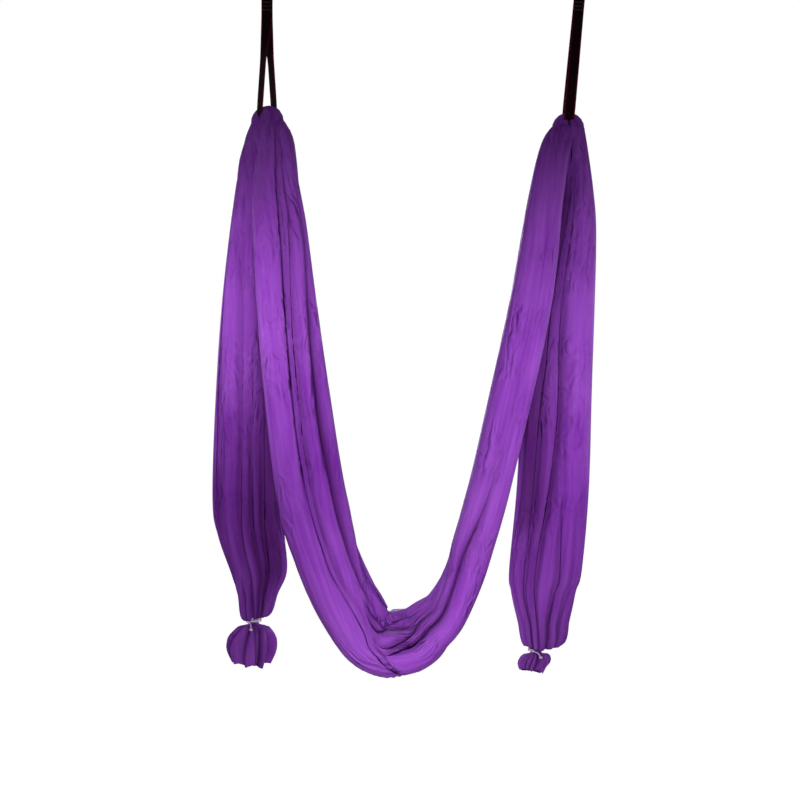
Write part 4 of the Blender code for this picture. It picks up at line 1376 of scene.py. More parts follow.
        # The cloth stands up a little where it comes out from under the cord
        under_cord, rim_height, rim_start, rim_span = 0.008, 0.010, 0.019, 0.012
        rim = bell(rise + self.neck_length + under_cord, rim_height)
        rim = rim * smoothstep((reach - rim_start) / rim_span)
        flare = self.hem_flare * below * self.unevenness(angle, 1.1) + self.droop_flare * lowered
        points[..., :2] += away * flare[..., None]
        points[..., 2] += self.ruff_lift * rim
        points[..., 2] -= lowered + self.hem_drop * below**2 * (0.3 + 0.7 * self.unevenness(angle, 0.0))
        return points

    def build(self, cloth: Material) -> Object:
        """Makes the tail's sheet.

        Args:
            cloth: Its finish.

        Returns:
            The piece, bending between the hammock and its tail.
        """
        last = len(self.rows()) - 1
        folds = spread_folds(self.front_folds, self.fold_count - len(self.front_folds), last)
        ripples = Ripples(self.seed)
        points, flat, depth = self.bundle().surface(folds, FoldPattern(), ripples, TAIL_BANDS)
        side = self.saddle.side.value
        mirrored = self.saddle.side is Side.LEFT
        piece = sheet_object(f"{side}_tail_cloth", self.scallop(points), flat, depth, cloth, mirrored)
        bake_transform(piece)
        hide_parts(f"{side}_tail")
        return piece


def left_tail(saddle: Saddle) -> Tail:
    """The left tail, which hangs straight down behind the sling's left strand.

    Args:
        saddle: The saddle that it hangs from.

    Returns:
        The tail, ready to build.
    """
    return Tail(
        saddle=saddle,
        drop=1.1007,
        stations=(
            (0.031, -0.009, 0.014, 0.036, 0.029),
            (0.134, -0.014, 0.027, 0.052, 0.040),
            (0.342, -0.024, 0.030, 0.070, 0.044),
            (0.550, -0.028, 0.031, 0.081, 0.045),
            (0.758, -0.030, 0.030, 0.085, 0.046),
            (0.831, -0.024, 0.030, 0.079, 0.045),
            (0.904, -0.008, 0.029, 0.068, 0.042),
            (0.945, -0.010, 0.028, 0.053, 0.038),
            (0.984, -0.014, 0.027, 0.035, 0.027),
        ),
        neck=(-0.020, 0.026),
        ruffle=(
            (0.004, 0.029, 0.026),
            (0.012, 0.046, 0.038),
            (0.030, 0.066, 0.052),
            (0.056, 0.068, 0.053),
            (0.086, 0.052, 0.042),
        ),
        ruffle_shift=-0.006,
        front_folds=[
            Fold(((0, -40, 0.5, 0.03), (2, -20, 0.6, 0.03), (5, -16, 0.6, 0.03), (16, -24, 0.4, 0.03))),
            Fold(((0, -10), (2, 14, 0.3, 0.02), (3, 22, 0.5, 0.03), (4.6, 36, 0.6, 0.04),
                (6, 28, 0.4, 0.03), (8, 10, 0.2, 0.04), (12, 8, 0, 0.04), (14, 2, 0, 0.02),
                (16, -6, 0, 0.01))),
            Fold(((0, 26), (1.3, 44, 0, -0.03), (2, 50, 0, -0.02), (3, 52), (6, 50, 0, 0.01),
                (9, 44, 0.2, 0.04), (12, 42, 0, 0.06), (14, 36, 0, 0.07), (16, 28, 0, 0.05))),
            Fold(((0, 40), (2, 62, 0, 0.03), (2.83, 70, -0.2, 0.06), (3.6, 75, -0.4, 0.07),
                (4.84, 76, -0.5, 0.08), (5.4, 75, -0.5, 0.08), (6.7, 69, -0.5, 0.08),
                (8.95, 76, -0.3, 0.08), (12, 74, 0, 0.07), (14, 76, 0, 0.02), (16, 72, 0, 0.04))),
            Fold(((0, 66), (3, 92, 0, 0.02), (4.6, 97, -0.4, 0.10), (6.1, 97, -0.7, 0.12),
                (8.94, 99, -0.2, 0.10), (12, 98, 0, 0.10), (14, 104, 0.3, 0.08), (16, 110, 0.4, 0.06))),
            Fold(((0, 90, 0, 0.02), (3, 114, -0.3, 0.08), (5, 119, -0.5, 0.13), (6.3, 117, -0.5, 0.13),
                (7.3, 114, -0.3, 0.12), (9.5, 120, 0, 0.10), (16, 124, 0, 0.10))),
            Fold(((0, 130), (4, 146, 0.4, 0.08), (8, 150, 0.5, 0.10), (16, 150, 0, 0.08))),
        ],
        seed=21,
        overhang=0.0,
        dusk=0.28,
        shoulder=0.007,
        droop_angle=math.radians(-130),
    )


def right_tail(saddle: Saddle) -> Tail:
    """The right tail, whose full bag hangs beside and below its neck.

    Args:
        saddle: The saddle that it hangs from.

    Returns:
        The tail, ready to build.
    """
    return Tail(
        saddle=saddle,
        drop=1.1497,
        stations=(
            (0.023, -0.0055, 0.014, 0.0285, 0.028),
            (0.096, -0.002, 0.033, 0.039, 0.037),
            (0.175, -0.008, 0.043, 0.053, 0.041),
            (0.334, -0.033, 0.050, 0.076, 0.044),
            (0.493, -0.047, 0.051, 0.084, 0.045),
            (0.692, -0.057, 0.051, 0.086, 0.046),
            (0.851, -0.073, 0.049, 0.086, 0.046),
            (0.891, -0.077, 0.048, 0.077, 0.045),
            (0.930, -0.077, 0.047, 0.068, 0.043),
            (0.970, -0.077, 0.046, 0.056, 0.038),
            (0.992, -0.080, 0.045, 0.041, 0.030),
        ),
        neck=(-0.0925, 0.044),
        ruffle=(
            (0.003, 0.026, 0.023),
            (0.009, 0.036, 0.031),
            (0.017, 0.043, 0.037),
            (0.026, 0.043, 0.036),
            (0.036, 0.034, 0.029),
        ),
        ruffle_shift=-0.015,
        front_folds=[
            Fold(((0, -24, 0.5, 0.03), (18, -24, 0.4, 0.03))),
            Fold(((0, 14), (5, 16, 0, 0.02), (9, 20, 0, 0.03), (18, 14, 0, 0.05))),
            Fold(((0, 44), (5.5, 46), (7, 44, 0.2, 0.04), (10, 50, 0.3, 0.08), (18, 46, 0, 0.06))),
            Fold(((0, 70), (1, 82, 0, -0.05), (1.64, 88, 0, -0.08), (2.4, 84, 0, -0.07),
                (3.1, 76, 0, -0.05), (3.8, 68), (5.4, 66), (6.1, 76, 0, 0.04), (6.53, 73, 0.3, 0.08),
                (7.13, 66, 0.4, 0.10), (9.2, 75, 0.3, 0.10), (10.6, 82, 0, 0.08), (18, 76, 0, 0.06))),
            Fold(((0, 96), (1.6, 104, 0, 0.03), (3, 98, 0, 0.06), (3.89, 94, -0.2, 0.12),
                (4.67, 88, -0.5, 0.14), (5.27, 84, -0.6, 0.15), (5.79, 92, -0.6, 0.15),
                (6.38, 102, -0.5, 0.14), (6.71, 107, -0.4, 0.12), (8.36, 110, 0, 0.08),
                (18, 104, 0, 0.06))),
            Fold(((0, 118), (3, 116, 0, 0.04), (4.6, 113, 0, 0.10), (5.9, 124, -0.3, 0.12),
                (8.4, 132, -0.2, 0.10), (18, 128, 0, 0.06))),
            Fold(((0, 150), (5, 144, 0, 0.08), (8, 154, 0, 0.08), (18, 152, 0, 0.06))),
        ],
        seed=33,
        droop_angle=math.radians(-85),
        sling_shadow_end=0.85,
    )


# The tie cords


@dataclass(frozen=True)
class TieCord:
    """A thin pale cord wound round a tail's neck, with its free end lying on the ruffle."""

    saddle: Saddle
    drop: float
    neck: Pair
    ruffle: tuple[Triple, ...]
    start_angle: float
    neck_radius: float = 0.015
    neck_length: float = 0.016
    radius: float = 0.00125
    turns: int = 3
    points_per_turn: int = 24
    pitch: float = 0.0033
    end_length: float = 0.030
    end_steps: int = 8
    end_spread: float = 0.8
    end_lean: float = 0.45
    end_bend: float = 0.14
    end_bow: float = 0.27
    end_fall: float = 0.35
    strands: int = 3
    lay: float = 0.009

    def route(self) -> list[Vector]:
        """The cord's middle line, from its tucked start round the neck to its free end."""
        neck_top = self.saddle.tail_pivot + Vector((*self.neck, -self.drop))
        reach = self.neck_radius + RUNNING_GAP + self.radius
        points = []
        for i in range(self.turns * self.points_per_turn + 1):
            turn = self.start_angle + math.tau * i / self.points_per_turn
            fall = self.radius + GAP + self.pitch * i / self.points_per_turn
            points.append(plan_vector(turn) * reach + DOWN * fall)
        way = plan_vector(self.start_angle + math.pi / 2)
        side = plan_vector(self.start_angle)
        last = points[-1]
        flare = (self.ruffle[1][1] - self.neck_radius) / (self.ruffle[1][0] + self.neck_length)
        for i in range(1, self.end_steps + 1):
            ran = self.end_length * i / self.end_steps
            curl = ran * ran / self.end_length
            along = way * (ran - self.end_bend * curl)
            aside = side * (self.end_lean * ran + self.end_bow * curl)
            points.append(last + self.end_spread * (along + aside) + DOWN * self.end_fall * flare * curl)
        return [neck_top + point for point in points]

    def build(self, thread: Material) -> Object:
        """Makes the cord from three twisted strands, and the knot at its end.

        Args:
            thread: Its finish.

        Returns:
            The cord, riding on its tail.
        """
        side = self.saddle.side.value
        route = np.array(self.route())
        share = np.linspace(0, 1, 6 * len(route))
        line = catmull_rom(route, share)
        length = run_length(step_lengths(line))
        twist = length / self.lay * math.tau
        cord = lay_tube(f"{side}_cord", line, self.radius, thread, self.strands, twist)
        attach(cord, f"{side}_tail_body")
        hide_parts(f"{side}_tie_cord")
        knot = self.knot(Vector(line[-1]), thread)
        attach(knot, f"{side}_tail_body")
        return cord

    def knot(self, centre: Vector, thread: Material) -> Object:
        """A small overhand knot.

        Args:
            centre: Where it is.
            thread: Its finish.

        Returns:
            The knot.
        """
        rings, rings_per_twist, tightness, thinning = 72, 6, 0.85, 0.9
        t = np.linspace(0, math.tau, rings + 1)[:-1]
        # A trefoil curve is the shape of an overhand knot
        trefoil = [np.sin(t) + 2 * np.sin(2 * t), np.cos(t) - 2 * np.cos(2 * t), -1.4 * np.sin(3 * t)]
        line = np.stack(trefoil, 1) * self.radius * tightness + np.array(centre)
        name = f"{self.saddle.side.value}_cord_knot"
        twist = np.arange(rings) * math.tau / rings_per_twist
        return lay_tube(name, line, self.radius * thinning, thread, self.strands, twist, True)


def lay_tube(
    name: str,
    line: Array,
    radius: float,
    material: Material,
    strands: int,
    twist: Array,
    closed: bool = False,
) -> Object:
    """A cord of twisted strands along a line.

    Args:
        name: The piece's name.
        line: Points along its middle.
        radius: Its outside radius.
        material: Its finish.
        strands: How many strands show round it.
        twist: How far the strands have turned at each point, in radians.
        closed: Whether the line is a loop.

    Returns:
        The cord.
    """
    ahead = np.roll(line, -1, axis=0) if closed else np.concatenate([line[1:], line[-1:]])
    behind = np.roll(line, 1, axis=0) if closed else np.concatenate([line[:1], line[:-1]])
    tangent = unit(ahead - behind)
    side = np.zeros_like(line)
    side[0] = unit(np.cross(tangent[0], (0.31, 0.17, 0.93)))
    for i in range(1, len(line)):
        side[i] = unit(side[i - 1] - tangent[i] * (side[i - 1] @ tangent[i]))
    up = np.cross(tangent, side)
    sides, groove = 12, 0.16
    turn = np.linspace(0, math.tau, sides, endpoint=False)[None, :]
    lobe = (1 - groove) + groove * np.abs(np.cos(strands / 2 * (turn - twist[:, None])))
    reach = (radius * lobe)[..., None]
    around = side[:, None] * np.cos(turn)[..., None] + up[:, None] * np.sin(turn)[..., None]
    points = line[:, None] + reach * around
    made = mesh_object(name, points.reshape(-1, 3), grid_faces(len(line), sides, True, closed), material)
    if not closed:
        cap_ends(made, len(line), sides)
    return made


def cap_ends(made: Object, rows: int, sides: int) -> None:
    """Closes both ends of a tube.

    Args:
        made: The tube.
        rows: How many rings it has.
        sides: How many points a ring has.
    """
    bm = bmesh.new()
    bm.from_mesh(made.data)
    bm.verts.ensure_lookup_table()
    bm.faces.new([bm.verts[i] for i in range(sides)][::-1])
    bm.faces.new([bm.verts[(rows - 1) * sides + i] for i in range(sides)])
    bmesh.ops.recalc_face_normals(bm, faces=bm.faces)
    bm.to_mesh(made.data)
    bm.free()


def add_plate(made: Object, outline: list[Pair], thickness: float) -> None:
    """Adds a plate to a mesh, in the XZ plane and centred on y = 0.

    Args:
        made: The object that gets it.
        outline: Corners as (x, z).
        thickness: How thick the plate is.
    """
    bm = bmesh.new()
    bm.from_mesh(made.data)
    near, far = ([bm.verts.new((x, y, z)) for x, z in outline] for y in (-thickness / 2, thickness / 2))
    bm.faces.new(near)
    bm.faces.new(far[::-1])
    for i in range(len(outline)):
        j = (i + 1) % len(outline)
        bm.faces.new((near[j], near[i], far[i], far[j]))
    bmesh.ops.recalc_face_normals(bm, faces=bm.faces)
    bm.to_mesh(made.data)
    bm.free()


# The straps


@dataclass(frozen=True)
class WebbingLoop:
    """A loop of 25 mm webbing: over the carabiner's bar, sewn to itself below it, and under the cloth."""

    saddle: Saddle
    bar_radius: float = 0.006
    width: float = 0.025
    thickness: float = 0.0024
    eye_drop: float = 0.020
    tack_length: float = 0.021
    twist_length: float = 0.120
    side_gap: float = 0.0008
    width_points: int = 9
    edge_thinness: float = 0.45
    edge_angle: float = 60
    least_cup_radius: float = 0.006
    # Bar tacks: rows of zigzag stitches over most of the width, on both faces of the sewn part
    tack_rows: int = 3
    tack_stitches: int = 14
    tack_share: float = 0.82
    tack_rise: float = 0.0016
    tack_margin: float = 0.002
    tack_thread: float = 0.00032
    tack_lift: float = 0.0002

    @property
    def flank(self) -> float:
        """How far each side of the loop lies from its middle where it holds the cloth."""
        return self.saddle.bundle_half_width + self.side_gap + self.thickness / 2

    def leg(self) -> list[Pair]:
        """One leg from top to bottom, as distance from the middle and height."""
        saddle = self.saddle
        ply = (self.thickness + GAP) / 2
        top = saddle.bar.z - self.eye_drop
        bottom = top - self.tack_length
        fall = bottom - saddle.top.z
        leg = [(ply, top), (ply, top - self.tack_length / 2), (ply, bottom)]
        shares = [self.twist_length / fall * k / 8 for k in range(1, 9)]
        for share in (*shares, 0.75, 0.85):
            leg.append((ply + (self.flank - ply) * share, bottom - fall * share))
        return leg

    def loop(self) -> list[Pair]:
        """The whole loop in its own plane."""
        saddle = self.saddle
        eye = self.bar_radius + GAP + self.thickness / 2
        seat = saddle.bundle_half_height + self.side_gap + self.thickness / 2
        wrap = math.pi / 2 + math.asin(eye / self.eye_drop)
        over = []
        for angle in np.linspace(-wrap, wrap, 19):
            over.append((eye * math.sin(angle), saddle.bar.z + eye * math.cos(angle)))
        under = []
        for angle in np.linspace(0, math.pi, 25):
            under.append((self.flank * math.cos(angle), saddle.top.z - seat * math.sin(angle)))
        leg = self.leg()
        return over + leg + under + [(-across, z) for across, z in reversed(leg)]

    def place(self, across: float, z: float, along_width: float) -> Vector:
        """A point of the webbing's middle surface, cupped round the saddle and twisted above it."""
        saddle = self.saddle
        twist_top = saddle.bar.z - self.eye_drop - self.tack_length
        angle = saddle.twist * float(smoothstep((twist_top - z) / self.twist_length))
        share = min(max((saddle.bar.z - z) / (saddle.bar.z - saddle.top.z), 0.0), 1.0)
        middle = saddle.bar.x + (saddle.top.x - saddle.bar.x) * share
        radius = max(z - saddle.centre.z, self.least_cup_radius)
        cup = 1 - float(smoothstep((z - saddle.top.z) / self.width))
        bend = along_width / radius
        width = along_width * (1 - cup) + radius * math.sin(bend) * cup
        drop = radius * (1 - math.cos(bend)) * cup
        spot = Vector((middle, 0, z - drop))
        return spot + plan_vector(angle) * width + plan_vector(angle + math.pi / 2) * across

    def build(self, webbing: Material, thread: Material) -> Object:
        """Makes the loop with rounded selvedges, and the stitches that close its eye.

        Args:
            webbing: The loop's finish.
            thread: The stitches' finish.

        Returns:
            The loop, riding on the hammock.
        """
        stations = self.loop()
        spread = self.width * (np.linspace(0, 1, self.width_points) - 0.5)
        grid = np.array([[self.place(across, z, w) for w in spread] for across, z in stations])
        onward = np.roll(grid, -1, axis=0) - np.roll(grid, 1, axis=0)
        sideways = np.gradient(grid, axis=1)
        offset = unit(np.cross(onward, sideways)) * self.thickness / 2
        edge = np.ones(self.width_points)
        edge[[0, -1]] = self.edge_thinness
        offset = offset * edge[None, :, None]
        rings = np.concatenate([grid + offset, (grid - offset)[:, ::-1]], axis=1)
        length = run_length(step_lengths(grid[:, self.width_points // 2]))
        across = np.concatenate([spread, spread[::-1]])
        flat = np.stack(np.broadcast_arrays(across[None, :], length[:, None]), axis=-1)
        side = self.saddle.side.value
        piece = mesh_object(
            f"{side}_webbing_loop",
            rings.reshape(-1, 3),
            grid_faces(len(grid), rings.shape[1], True, True),
            webbing,
            flat.reshape(-1, 2),
            sharp=self.edge_angle,
        )
        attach(piece, "hammock")
        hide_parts(f"{side}_strap")
        stitches = self.stitches(thread)
        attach(stitches, "hammock")
        return piece

    def stitches(self, thread: Material) -> Object:
        """Zigzag bar tacks on both faces of the sewn part.

        Args:
            thread: The thread's finish.

        Returns:
            The stitches as one piece.
        """
        saddle = self.saddle
        face = self.thickness + GAP / 2 + self.tack_lift
        top = saddle.bar.z - self.eye_drop - self.tack_margin
        row_step = (self.tack_length - 2 * self.tack_margin) / (self.tack_rows - 1)
        points, faces = [], []
        count = 0
        for way in (-1, 1):
            for row in range(self.tack_rows):
                corners = []
                for n in range(self.tack_stitches + 1):
                    height = top - row * row_step + (self.tack_rise if n % 2 else -self.tack_rise)
                    across = self.width * self.tack_share * (n / self.tack_stitches - 0.5)
                    corners.append(np.array(self.place(way * face, height, across)))
                for start, end in zip(corners, corners[1:]):
                    ring = stitch_points(start, end, self.tack_thread)
                    points.append(ring)
                    faces.append(grid_faces(len(ring) // STITCH_SIDES, STITCH_SIDES, True) + count)
                    count += len(ring)
        name = f"{saddle.side.value}_bar_tacks"
        return mesh_object(name, np.concatenate(points), np.concatenate(faces), thread)


def stitch_points(start: Array, end: Array, radius: float) -> Array:
    """Rings of points along one stitch, which dips into the webbing at both ends.

    Args:
        start: Where the stitch starts.
        end: Where it ends.
        radius: The thread's radius.

    Returns:
        Four rings of points.
    """
    way = unit(end - start)
    normal = np.array((0.0, math.copysign(1.0, start[1]), 0.0))
    side = np.cross(way, normal)
    rings = []
    for share, lift in ((0.0, -2.0), (0.15, 0.3), (0.85, 0.3), (1.0, -2.0)):
        middle = start + (end - start) * share + normal * radius * lift
        for k in range(STITCH_SIDES):
            turn = math.tau * k / STITCH_SIDES
            rings.append(middle + radius * (side * math.cos(turn) + normal * math.sin(turn)))
    return np.array(rings)


# The carabiners


@dataclass(frozen=True)
class Carabiner:
    """A screw-lock steel carabiner: a forged bar with a gate, and a knurled sleeve threaded on the gate."""

    side: Side
    hanger_x: float
    bar_radius: float = 0.006
    inner_height: float = 0.088
    half_width: float = 0.026
    corner_radius: float = 0.013
    shoulder_straight: float = 0.0042
    nose_straight: float = 0.006
    gate_tip_gap: float = 0.0008
    sleeve_top_drop: float = 0.010
    sleeve_length: float = 0.020
    sleeve_clearance: float = 0.0007
    sleeve_wall: float = 0.0022
    sleeve_chamfer: float = 0.0006
    sleeve_band: float = 0.0022
    sleeve_groove: float = 0.0004
    knurl_count: int = 40
    knurl_depth: float = 0.00035
    edge_angle: float = 35
    tongue_radius: float = 0.005
    tongue_thickness: float = 0.004
    tongue_root: float = 0.003
    latch_inset: float = 0.0042
    latch_radius: float = 0.0014
    nose_lip: float = 0.0014
    bar_sides: int = 40

    @property
    def nose_z(self) -> float:
        """Height of the nose, where the gate's tip meets the bar."""
        return self.corner_radius + self.nose_straight - self.inner_height - self.bar_radius

    @property
    def hinge(self) -> Vector:
        """The gate's hinge rivet."""
        shoulder = self.bar_radius - self.half_width - self.shoulder_straight
        return Vector((self.hanger_x + self.half_width, 0, shoulder - self.bar_radius - 2 * RUNNING_GAP))

    def dress(self, metal: Material) -> None:
        """Gives the carried-over metal parts their finish.

        Args:
            metal: The plated steel.
        """
        side = self.side.value
        for part in ("gate", "gate_hinge_rivet", "gate_latch_pin", "gate_spring", "gate_plunger"):
            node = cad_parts[f"{side}_{part}"]
            node.data.materials.clear()
            node.data.materials.append(metal)
            node.data.shade_smooth()
            node.data.set_sharp_from_angle(angle=math.radians(self.edge_angle))

    def bar_line(self) -> Array:
        """The bar's middle line as (x, z, radius), from the nose round the basket, spine and crown."""
        half, corner, chamfer = self.half_width, self.corner_radius, self.sleeve_chamfer
        basket, crown = -self.inner_height - self.bar_radius, self.bar_radius - half
        bends = (
            (half - corner, basket + corner, corner, 0, -90, 13),
            (corner - half, basket + corner, corner, -90, -180, 13),
            (0.0, crown, half, 180, 0, 49),
        )
        line = [(half, self.nose_z, self.bar_radius - chamfer)]
        line.append((half, self.nose_z - chamfer, self.bar_radius))
        for x, z, radius, start, end, steps in bends:
            for turn in np.radians(np.linspace(start, end, steps)):
                line.append((x + radius * math.cos(turn), z + radius * math.sin(turn), self.bar_radius))
        shoulder = crown - self.shoulder_straight
        line.append((half, shoulder + chamfer, self.bar_radius))
        line.append((half, shoulder, self.bar_radius - chamfer))
        return np.array(line)

    def build_bar(self, metal: Material) -> Object:
        """Makes the forged bar with the hinge's tongue and the notched nose that the latch pin sits in.

        Args:
            metal: The plated steel.

        Returns:
            The bar, riding on the hangers.
        """
        line = self.bar_line()
        middle = np.stack([line[:, 0], np.zeros(len(line)), line[:, 1]], 1)
        tangent = unit(np.gradient(middle, axis=0))
        across = np.cross(tangent, (0.0, 1.0, 0.0))[:, None]
        turn = np.linspace(0, math.tau, self.bar_sides, endpoint=False)[None, :, None]
        ring = across * np.cos(turn) + np.array((0.0, 1.0, 0.0)) * np.sin(turn)
        points = middle[:, None] + ring * line[:, 2][:, None, None]
        points[..., 0] += self.hanger_x
        faces = grid_faces(len(line), self.bar_sides, True)
        name = f"{self.side.value}_forged_bar"
        piece = mesh_object(name, points.reshape(-1, 3), faces, metal, sharp=self.edge_angle)
        cap_ends(piece, len(line), self.bar_sides)
        hinge, reach = self.hinge, self.tongue_radius
        root = hinge.z + self.bar_radius + self.tongue_root
        tongue = [(hinge.x - reach, root)]
        for turned in np.radians(np.linspace(180, 360, 25)):
            tongue.append((hinge.x + reach * math.cos(turned), hinge.z + reach * math.sin(turned)))
        tongue.append((hinge.x + reach, root))
        add_plate(piece, tongue, self.tongue_thickness)
        latch = self.nose_z + self.gate_tip_gap + self.latch_inset
        room, heel = self.latch_radius + RUNNING_GAP, self.latch_radius / 2
        nose = [
            (-reach, self.nose_z - self.tongue_root),
            (-reach, latch - room),
            (room, latch - room),
            (room, latch + room),
            (-heel, latch + room),
            (-heel, latch + room + self.nose_lip),
            (reach, latch + room + self.nose_lip),
            (reach, self.nose_z - self.tongue_root),
        ]
        add_plate(piece, [(hinge.x + x, z) for x, z in nose], self.tongue_thickness)
        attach(piece, "hangers")
        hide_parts(f"{self.side.value}_carabiner_frame")
        return piece

    def build_sleeve(self, metal: Material) -> Object:
        """Makes the lock sleeve with straight knurls round it.

        Args:
            metal: The sleeve's steel.

        Returns:
            The sleeve, riding on its own body.
        """
        inner = self.bar_radius + self.sleeve_clearance
        outer = inner + self.sleeve_wall
        top, bottom = -self.sleeve_top_drop, -self.sleeve_top_drop - self.sleeve_length
        band, grooved = self.sleeve_band, outer - self.sleeve_groove
        groove_start, groove_end, knurl_start = band + 0.0003, band + 0.0006, band + 0.0010
        # Half of the profile as radius, distance from the sleeve's end, and knurling
        half = [
            (inner, 0.0, 0.0),
            (outer - self.sleeve_chamfer, 0.0, 0.0),
            (outer, self.sleeve_chamfer, 0.0),
            (outer, band, 0.0),
            (grooved, groove_start, 0.0),
            (grooved, groove_end, 0.0),
            (outer, knurl_start, 1.0),
        ]
        profile = [(radius, top - away, knurl) for radius, away, knurl in half]
        profile.append((outer, (top + bottom) / 2, 1.0))
        profile += [(radius, bottom + away, knurl) for radius, away, knurl in reversed(half)]
        sides = 4 * self.knurl_count
        turn = np.arange(sides) * math.tau / sides
        groove = np.where(np.arange(sides) % 4 == 0, 1.0, 0.0)
        rings = []
        for radius, height, knurl in profile:
            reach = radius - self.knurl_depth * groove * knurl
            ring = np.stack([reach * np.cos(turn), reach * np.sin(turn), np.full(sides, height)], 1)
            rings.append(ring + np.array(self.hinge))
        points = np.concatenate(rings)
        name = f"{self.side.value}_knurled_sleeve"
        faces = grid_faces(len(profile), sides, True, True)
        piece = mesh_object(name, points, faces, metal, sharp=self.edge_angle)
        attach(piece, f"{self.side.value}_sleeve_body")
        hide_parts(f"{self.side.value}_lock_sleeve")
        return piece


# The studio


@dataclass(frozen=True)
class Lamp:
    """A square soft box: its place, what it points at, its side, its watts and its spread in degrees."""

    name: str
    place: Triple
    target: Triple
    size: float
    watts: float
    spread: float

    def hang(self) -> None:
        """Adds the lamp to the scene."""
        data = bpy.data.lights.new(self.name, "AREA")
        data.size = self.size
        data.energy = self.watts
        data.spread = math.radians(self.spread)
        lamp = bpy.data.objects.new(self.name, data)
        lamp.location = self.place
        ray = Vector(self.target) - Vector(self.place)
        lamp.rotation_euler = ray.to_track_quat("-Z", "Y").to_euler()
        bpy.context.scene.collection.objects.link(lamp)


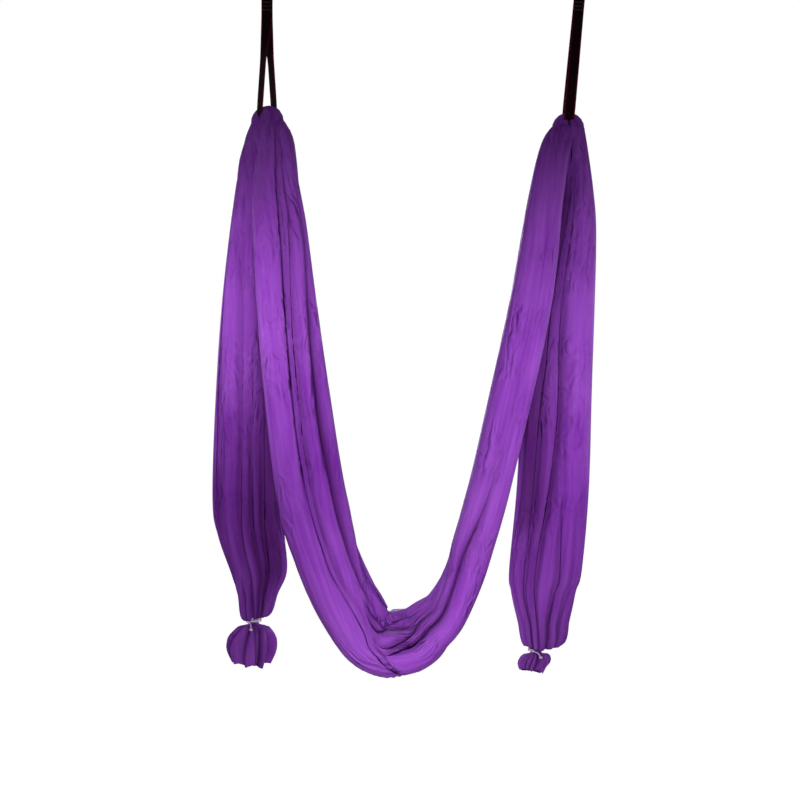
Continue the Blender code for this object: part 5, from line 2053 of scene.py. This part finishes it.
@dataclass(frozen=True)
class Studio:
    """White studio: a level camera, soft lamps in front, behind, beside and above, and pale ground."""

    eye: Triple = (0.29925, -3.0, -1.010)
    lens: float = 60.0
    sensor: float = 36.0
    floor_z: float = -2.4
    floor_middle: float = 0.3
    floor_half: float = 9.0
    floor_glow: float = 0.965
    floor_colour: str = "C8C8C8"
    air_colour: str = "FFFFFF"
    ambient: float = 0.075
    lamps: tuple[Lamp, ...] = (
        Lamp("key", (0.30, -2.3, -1.07), (0.3, 0, -1.07), 0.5, 3.5, 54),
        Lamp("left fill", (-0.5, -1.5, -0.80), (-0.04, 0, -0.86), 0.4, 1.3, 36),
        Lamp("right fill", (1.2, -1.5, -0.85), (0.72, 0, -1.0), 0.4, 1.75, 44),
        Lamp("low", (0.30, -1.2, -1.62), (0.30, 0, -1.55), 0.3, 1.0, 46),
        Lamp("back", (0.35, 2.2, -0.6), (0.33, 0, -1.0), 0.9, 14.0, 90),
        Lamp("left side", (-2.2, 1.5, -0.8), (0, 0, -1.0), 0.8, 7.0, 70),
        Lamp("right side", (2.9, 1.5, -0.8), (0.7, 0, -1.0), 0.8, 7.0, 70),
        Lamp("top", (0.3, -0.6, 1.6), (0.3, 0, -0.95), 1.6, 5.0, 180),
    )

    def camera(self) -> None:
        """Places the camera level, square to the front."""
        data = bpy.data.cameras.new("camera")
        data.lens = self.lens
        data.sensor_width = self.sensor
        camera = bpy.data.objects.new("camera", data)
        camera.location = self.eye
        camera.rotation_euler = (math.pi / 2, 0, 0)
        bpy.context.scene.collection.objects.link(camera)
        bpy.context.scene.camera = camera

    def sight(self, tree: NodeTree) -> NodeSocket:
        """1 for what the camera sees straight, in a shine or through glass, and 0 for plain light."""
        path = add_node(tree, "LightPath")
        seen = path.outputs["Is Camera Ray"]
        for ray in ("Is Glossy Ray", "Is Transmission Ray"):
            both = {0: seen, 1: path.outputs[ray]}
            seen = add_node(tree, "Math", both, operation="MAXIMUM").outputs[0]
        return seen

    def world(self) -> None:
        """Even pale surroundings, white to the camera and to what shines."""
        world = bpy.data.worlds.new("studio")
        world.use_nodes = True
        tree = world.node_tree
        tree.nodes.clear()
        limits = {"Value": self.sight(tree), "To Min": self.ambient, "To Max": 1.0}
        strength = add_node(tree, "MapRange", limits).outputs["Result"]
        back = add_node(tree, "Background", {"Color": linear(self.air_colour), "Strength": strength})
        add_node(tree, "OutputWorld", {"Surface": back.outputs[0]})
        bpy.context.scene.world = world

    def floor(self) -> None:
        """A pale floor that keeps the shadow and otherwise shows as white as the air."""
        material, tree, shader = new_material("Matt white floor paint")
        tree.nodes.remove(shader)
        paint = add_node(tree, "BsdfDiffuse", {"Color": linear(self.floor_colour)})
        limits = {"Value": self.sight(tree), "To Min": 0.0, "To Max": self.floor_glow}
        lift = add_node(tree, "MapRange", limits).outputs["Result"]
        glow = add_node(tree, "Emission", {"Color": linear(self.air_colour), "Strength": lift})
        both = add_node(tree, "AddShader", {0: paint.outputs[0], 1: glow.outputs[0]})
        feed(tree, tree.nodes["Material Output"], {"Surface": both.outputs[0]})
        half = self.floor_half
        corners = np.array([(-half, -half, 0), (half, -half, 0), (half, half, 0), (-half, half, 0)])
        points = corners + np.array((self.floor_middle, 0, self.floor_z))
        floor = mesh_object("floor", points, np.array([[0, 1, 2, 3]]), material)

    def build(self) -> None:
        """Sets up the camera, surroundings, floor and lamps."""
        self.camera()
        self.world()
        self.floor()
        for lamp in self.lamps:
            lamp.hang()
        bpy.context.scene.view_settings.view_transform = "Standard"


# The build


def main() -> None:
    """Builds the hammock piece by piece."""
    logging.basicConfig(level=logging.INFO, format="%(name)s: %(message)s")
    Studio().build()
    saddles = make_saddles()
    cloth = SatinNylon().make()
    thread = SpunThread().make()
    tack = SpunThread("Black polyester thread", colour="2A2022", shade_colour="120C0E").make()
    steel = PlatedSteel().make()
    knurled = PlatedSteel("Knurled steel", colour="8F9194", dull_colour="6E7073", roughness=0.34).make()
    tails = {Side.LEFT: left_tail(saddles[Side.LEFT]), Side.RIGHT: right_tail(saddles[Side.RIGHT])}
    # Where round its neck each cord's turns start, and its free end leaves
    starts = {Side.LEFT: math.radians(235), Side.RIGHT: math.radians(250)}
    for side, tail in tails.items():
        cord = TieCord(tail.saddle, tail.drop, tail.neck, tail.ruffle, starts[side])
        LOG.info("made %s", cord.build(thread).name)
    sling = Sling(saddles)
    LOG.info("made %s", sling.build(cloth).name)
    for tail in tails.values():
        LOG.info("made %s", tail.build(cloth).name)
    for saddle in saddles.values():
        strap = WebbingLoop(saddle)
        webbing = NylonWebbing(strap.width).make()
        LOG.info("made %s", strap.build(webbing, tack).name)
        carabiner = Carabiner(saddle.side, saddle.hanger_x)
        carabiner.dress(steel)
        LOG.info("made %s", carabiner.build_bar(steel).name)
        LOG.info("made %s", carabiner.build_sleeve(knurled).name)


if __name__ == "__main__":
    main()
